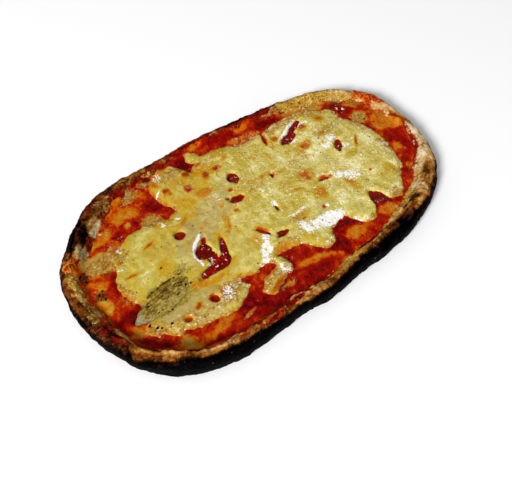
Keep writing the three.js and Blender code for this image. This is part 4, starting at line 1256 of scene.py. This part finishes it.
def makeLeaf():
    # Rows from stalk to tip and columns across: a pillow section between the edges, with a midrib,
    # side veins and ripples.
    u = -np.cos(np.linspace(leaf["ends"], np.pi - leaf["ends"], leaf["rows"]))[:, None]
    section = np.linspace(0, 2 * np.pi, 2 * leaf["columns"], endpoint=False)[None, :]
    frill = 1 + leaf["frill"] * np.sin(leaf["frillTurns"] * u + 2 * np.sign(np.cos(section)))
    v = np.cos(section) * leafHalfWidth(u) * frill
    x, y = turnedBy(u * leaf["long"], v, leaf["turn"])
    x, y = x + leaf["x"], y + leaf["y"]
    share = np.abs(v) / leaf["wide"]
    crease = leaf["crease"] * share
    ripple = leaf["ripple"] * (1 + np.sin(leaf["rippleTurns"] * u + leaf["rippleSlant"] * v))
    veins = leaf["veinDepth"] * np.cos(2 * np.pi * v / leaf["veinGap"] + leaf["veinSlant"] * u)
    veins = veins + summed(lumps, (x, y, 0), leaf["noises"])
    half = 0.5 * leaf["thick"] * np.sin(section) * np.maximum(leaf["thinnest"], 1 - share ** 2)
    z = cheeseTop(x, y) + 0.5 * leaf["thick"] + leaf["lift"] + crease + ripple + veins + half
    rings = np.stack([x, y, z], axis=-1)
    piece = ringMesh("bakedLeaf", rings, rings[0].mean(axis=0), rings[-1].mean(axis=0))
    layer = piece.data.uv_layers.new(name="leafMap")
    flat = np.stack([u + 0 * v, v / leaf["wide"]], axis=-1).reshape(-1, 2)
    flat = np.concatenate([flat, [(-1, 0), (1, 0)]])
    corners = np.zeros(len(piece.data.loops), np.int32)
    piece.data.loops.foreach_get("vertex_index", corners)
    layer.data.foreach_set("uv", flat[corners].astype(np.float32).ravel())
    return piece


def leafFinish():
    # Dark streaks along the leaf, paler on the far side and at the tip.
    look = leafLook
    finish, tree, shader = newFinish("leafFinish", look["shader"])
    place = addNode(tree, "ShaderNodeUVMap", uv_map="leafMap").outputs["UV"]
    stretched = addNode(tree, "ShaderNodeMapping", {"Vector": place, "Scale": look["stretch"]})
    drawn = {"Vector": stretched.outputs["Vector"], **look["streaks"]}
    streaks = addNode(tree, "ShaderNodeTexNoise", drawn).outputs["Fac"]
    noises = grains(tree, look)
    noises["streaks"] = streaks
    sides = addNode(tree, "ShaderNodeSeparateXYZ", {"Vector": place}).outputs
    colour = ramp(tree, stirred(tree, noises, streaks, look["dark"]), look["bands"]["dark"])
    for name, side in (("pale", sides["Y"]), ("tip", sides["X"])):
        low, high, reaches = look[name]
        share = window(tree, stirred(tree, noises, side, reaches), low, high)
        colour = coat(tree, colour, share, noises["fine"], look, name)
    tree.links.new(colour, shader.inputs["Base Color"])
    bump(tree, shader, [(noises[name], depth, 1) for name, depth in look["bumps"].items()])
    return finish


print("basil leaf")
dress(makeLeaf(), leafFinish(), "basil_leaf")


# --- burnt flecks ---

flecks = {
    "around": 10, "rings": 5, "lift": 0.1, "halfHeight": 0.3, "overLeaf": 0.7,
    "poles": (-0.2, 0.4),  # heights of the lowest and the highest point
    "places": [  # x, y, half length, half width, turn
        (-113.5, -10, 1.2, 0.6, 30), (-108, -9.5, 1.6, 0.4, 0), (-103, -9, 2, 0.4, 4),
        (-98.5, -9, 1.4, 0.4, 0), (-93, -9, 1.8, 0.7, 15), (-88, -9.5, 1.3, 0.7, 0),
        (-90, -20, 1.2, 0.7, 40), (-86, -21, 1.1, 0.8, 0), (-99, -23, 1.6, 0.6, 20),
        (-127, -36, 1.4, 1.1, 0), (-124.5, -38, 1.1, 0.9, 0), (-117, -40, 1.2, 1.1, 0),
        (-110, -31, 1, 0.8, 0), (-130, -31, 1.8, 0.9, 30), (-137, -21, 1.6, 1, 0),
        (-146, 36, 2.4, 1.2, 50), (-144, 31, 1.8, 1, 80), (-142, 38, 1.2, 0.8, 0),
        (-143, 15, 1.6, 0.9, 60), (-141, 9, 1.4, 0.9, 30), (-139, 17, 1.2, 0.8, 0),
        (-95, 4, 1.2, 0.7, 20), (-83, 20, 0.8, 0.5, 0), (93, 27, 0.8, 0.7, 0), (-96, -14.5, 1.6, 0.4, 10),
        (-91, -16, 1.2, 0.4, 20), (-94, -18, 1.3, 0.4, 15), (-122, -17, 1.6, 0.8, -10),
        (-119, -26.5, 1.2, 0.4, 0), (-116, -26.5, 0.8, 0.4, 0), (118, -14, 0.7, 0.6, 0),
        (145, 20, 1.3, 0.8, 60), (149, 12, 0.9, 0.7, 0), (152, 22, 1, 0.6, 80),
    ],
    "scattered": 46, "seed": 5, "reachX": 150, "reachY": 78, "inAndOut": (0.02, 0.8),
    "halfLengths": (0.35, 0.9), "halfWidths": (0.3, 0.6),
    "shader": {"Roughness": 0.6, "Specular IOR Level": 0.1}, "colours": ((14, 8, 6), (44, 24, 10)),
    "grains": {"wide": (3, 2), "fine": (0.8, 2)}, "bumpDepth": 0.1,
}


def surfaceTop(x, y):
    # The highest layer under a point of the plan.
    top = doughTop(x, y)
    top = np.where(sauceField(x, y) > 0, sauceTop(x, y), top)
    top = np.where(cheeseField(x, y) > 0, cheeseTop(x, y), top)
    u, v = leafPlace(x, y)
    onLeaf = (np.abs(u) < 1) & (np.abs(v) < leafHalfWidth(np.clip(u, -1, 1)))
    return np.where(onLeaf, top + leaf["thick"] + flecks["overLeaf"], top)


def makeFlecks():
    # Small flattened lumps, each an uneven ball, sunk by a third into what they lie on.
    draw = np.random.default_rng(flecks["seed"])
    n = flecks["scattered"]
    turn = draw.uniform(0, 2 * np.pi, n)
    reach = np.sqrt(draw.uniform(*flecks["inAndOut"], n))
    extra = np.stack([
        flecks["reachX"] * reach * np.cos(turn), flecks["reachY"] * reach * np.sin(turn),
        draw.uniform(*flecks["halfLengths"], n), draw.uniform(*flecks["halfWidths"], n),
        draw.uniform(0, 180, n),
    ], axis=-1)
    every = np.concatenate([np.array(flecks["places"]), extra])
    cx, cy, halfLong, halfWide, turned = (every[:, k, None, None] for k in range(5))
    height = surfaceTop(cx, cy)
    tilt = np.linspace(-1, 1, flecks["rings"] + 2)[1:-1][None, :, None] * np.pi / 2
    spin = np.linspace(0, 2 * np.pi, flecks["around"], endpoint=False)[None, None, :]
    uneven = 1 + 0.25 * np.sin(3 * spin + cx) + 0.15 * np.sin(5 * spin + 2 * cy)
    u = halfLong * np.cos(tilt) * np.cos(spin) * uneven
    v = halfWide * np.cos(tilt) * np.sin(spin) * uneven
    x, y = turnedBy(u, v, turned)
    x, y = x + cx, y + cy
    z = height + flecks["lift"] + flecks["halfHeight"] * np.sin(tilt) + 0 * x
    rings = np.stack([x, y, z], axis=-1)
    poles = [np.stack([cx, cy, height + pole], axis=-1)[:, 0] for pole in flecks["poles"]]
    points = np.concatenate([rings.reshape(len(every), -1, 3), *poles], axis=1)
    offset = (np.arange(len(every)) * points.shape[1])[:, None, None]
    quads, triangles = ringFaces(flecks["rings"], flecks["around"])
    quads, triangles = (quads + offset).reshape(-1, 4), (triangles + offset).reshape(-1, 3)
    return newMesh("burntFlecks", points.reshape(-1, 3), quads, triangles)


def fleckFinish():
    # Two near blacks, mixed by noise.
    finish, tree, shader = newFinish("fleckFinish", flecks["shader"])
    noises = grains(tree, flecks)
    dark, light = (paint(*colour) for colour in flecks["colours"])
    tree.links.new(blend(tree, noises["wide"], dark, light), shader.inputs["Base Color"])
    bump(tree, shader, [(noises["fine"], flecks["bumpDepth"], 1)])
    return finish


print("burnt flecks")
dress(makeFlecks(), fleckFinish(), None)


# --- floor, light and camera ---

view = {
    "heading": -41, "elevation": 52, "distance": 0.52, "target": (-0.017, -0.0153, 0),
    "focalPixels": 648, "imageWidth": 512, "sensor": 36,
}


def makeFloor():
    # A plain level square just below the underside.
    half, level = studio["floorSize"] / 2 / mm, -studio["floorDrop"]
    corners = [(-half, -half, level), (half, -half, level), (half, half, level), (-half, half, level)]
    floor = newMesh("floor", np.array(corners), np.array([[0, 1, 2, 3]]))
    floor.data.materials.append(newFinish("floorFinish", studio["floor"])[0])


def areaLight(name, settings):
    # A disk, or a rectangle where its size is a pair, turned towards its aim.
    size = settings["size"]
    light = bpy.data.lights.new(name, "AREA")
    light.energy = settings["power"]
    if isinstance(size, tuple):
        light.shape = "RECTANGLE"
        light.size, light.size_y = size
    else:
        light.shape = "DISK"
        light.size = size
    lamp = bpy.data.objects.new(name, light)
    lamp.location = settings["from"]
    lamp.rotation_euler = (Vector(settings["aim"]) - lamp.location).to_track_quat("-Z", "Y").to_euler()
    bpy.context.scene.collection.objects.link(lamp)
    return lamp


def makeSky():
    # White light from all round for what is matt, and darkness for what reflects.
    world = bpy.data.worlds.new("studioSky")
    bpy.context.scene.world = world
    world.use_nodes = True
    tree = world.node_tree
    ground = tree.nodes["Background"]
    ground.inputs["Color"].default_value = (1, 1, 1, 1)
    ray = addNode(tree, "ShaderNodeLightPath")
    matt = math(tree, "SUBTRACT", 1, ray.outputs["Is Glossy Ray"])
    tree.links.new(times(tree, matt, studio["skyStrength"]), ground.inputs["Strength"])


def makeCamera():
    # Back from the target by the distance, at the heading and the elevation.
    turn, lift = np.radians(view["heading"]), np.radians(view["elevation"])
    back = Vector((np.sin(turn) * np.cos(lift), -np.cos(turn) * np.cos(lift), np.sin(lift)))
    lens = bpy.data.cameras.new("camera")
    lens.sensor_width = view["sensor"]
    lens.lens = view["sensor"] * view["focalPixels"] / view["imageWidth"]
    camera = bpy.data.objects.new("camera", lens)
    camera.location = Vector(view["target"]) + back * view["distance"]
    camera.rotation_euler = (-back).to_track_quat("-Z", "Y").to_euler()
    bpy.context.scene.collection.objects.link(camera)
    bpy.context.scene.camera = camera


print("studio")
makeFloor()
makeSky()
key = areaLight("key", studio["key"])
key.visible_glossy = False
glint = areaLight("glint", studio["glint"])
glint.visible_diffuse = False
makeCamera()
bpy.context.scene.view_settings.view_transform = "Standard"

bpy.context.view_layer.update()
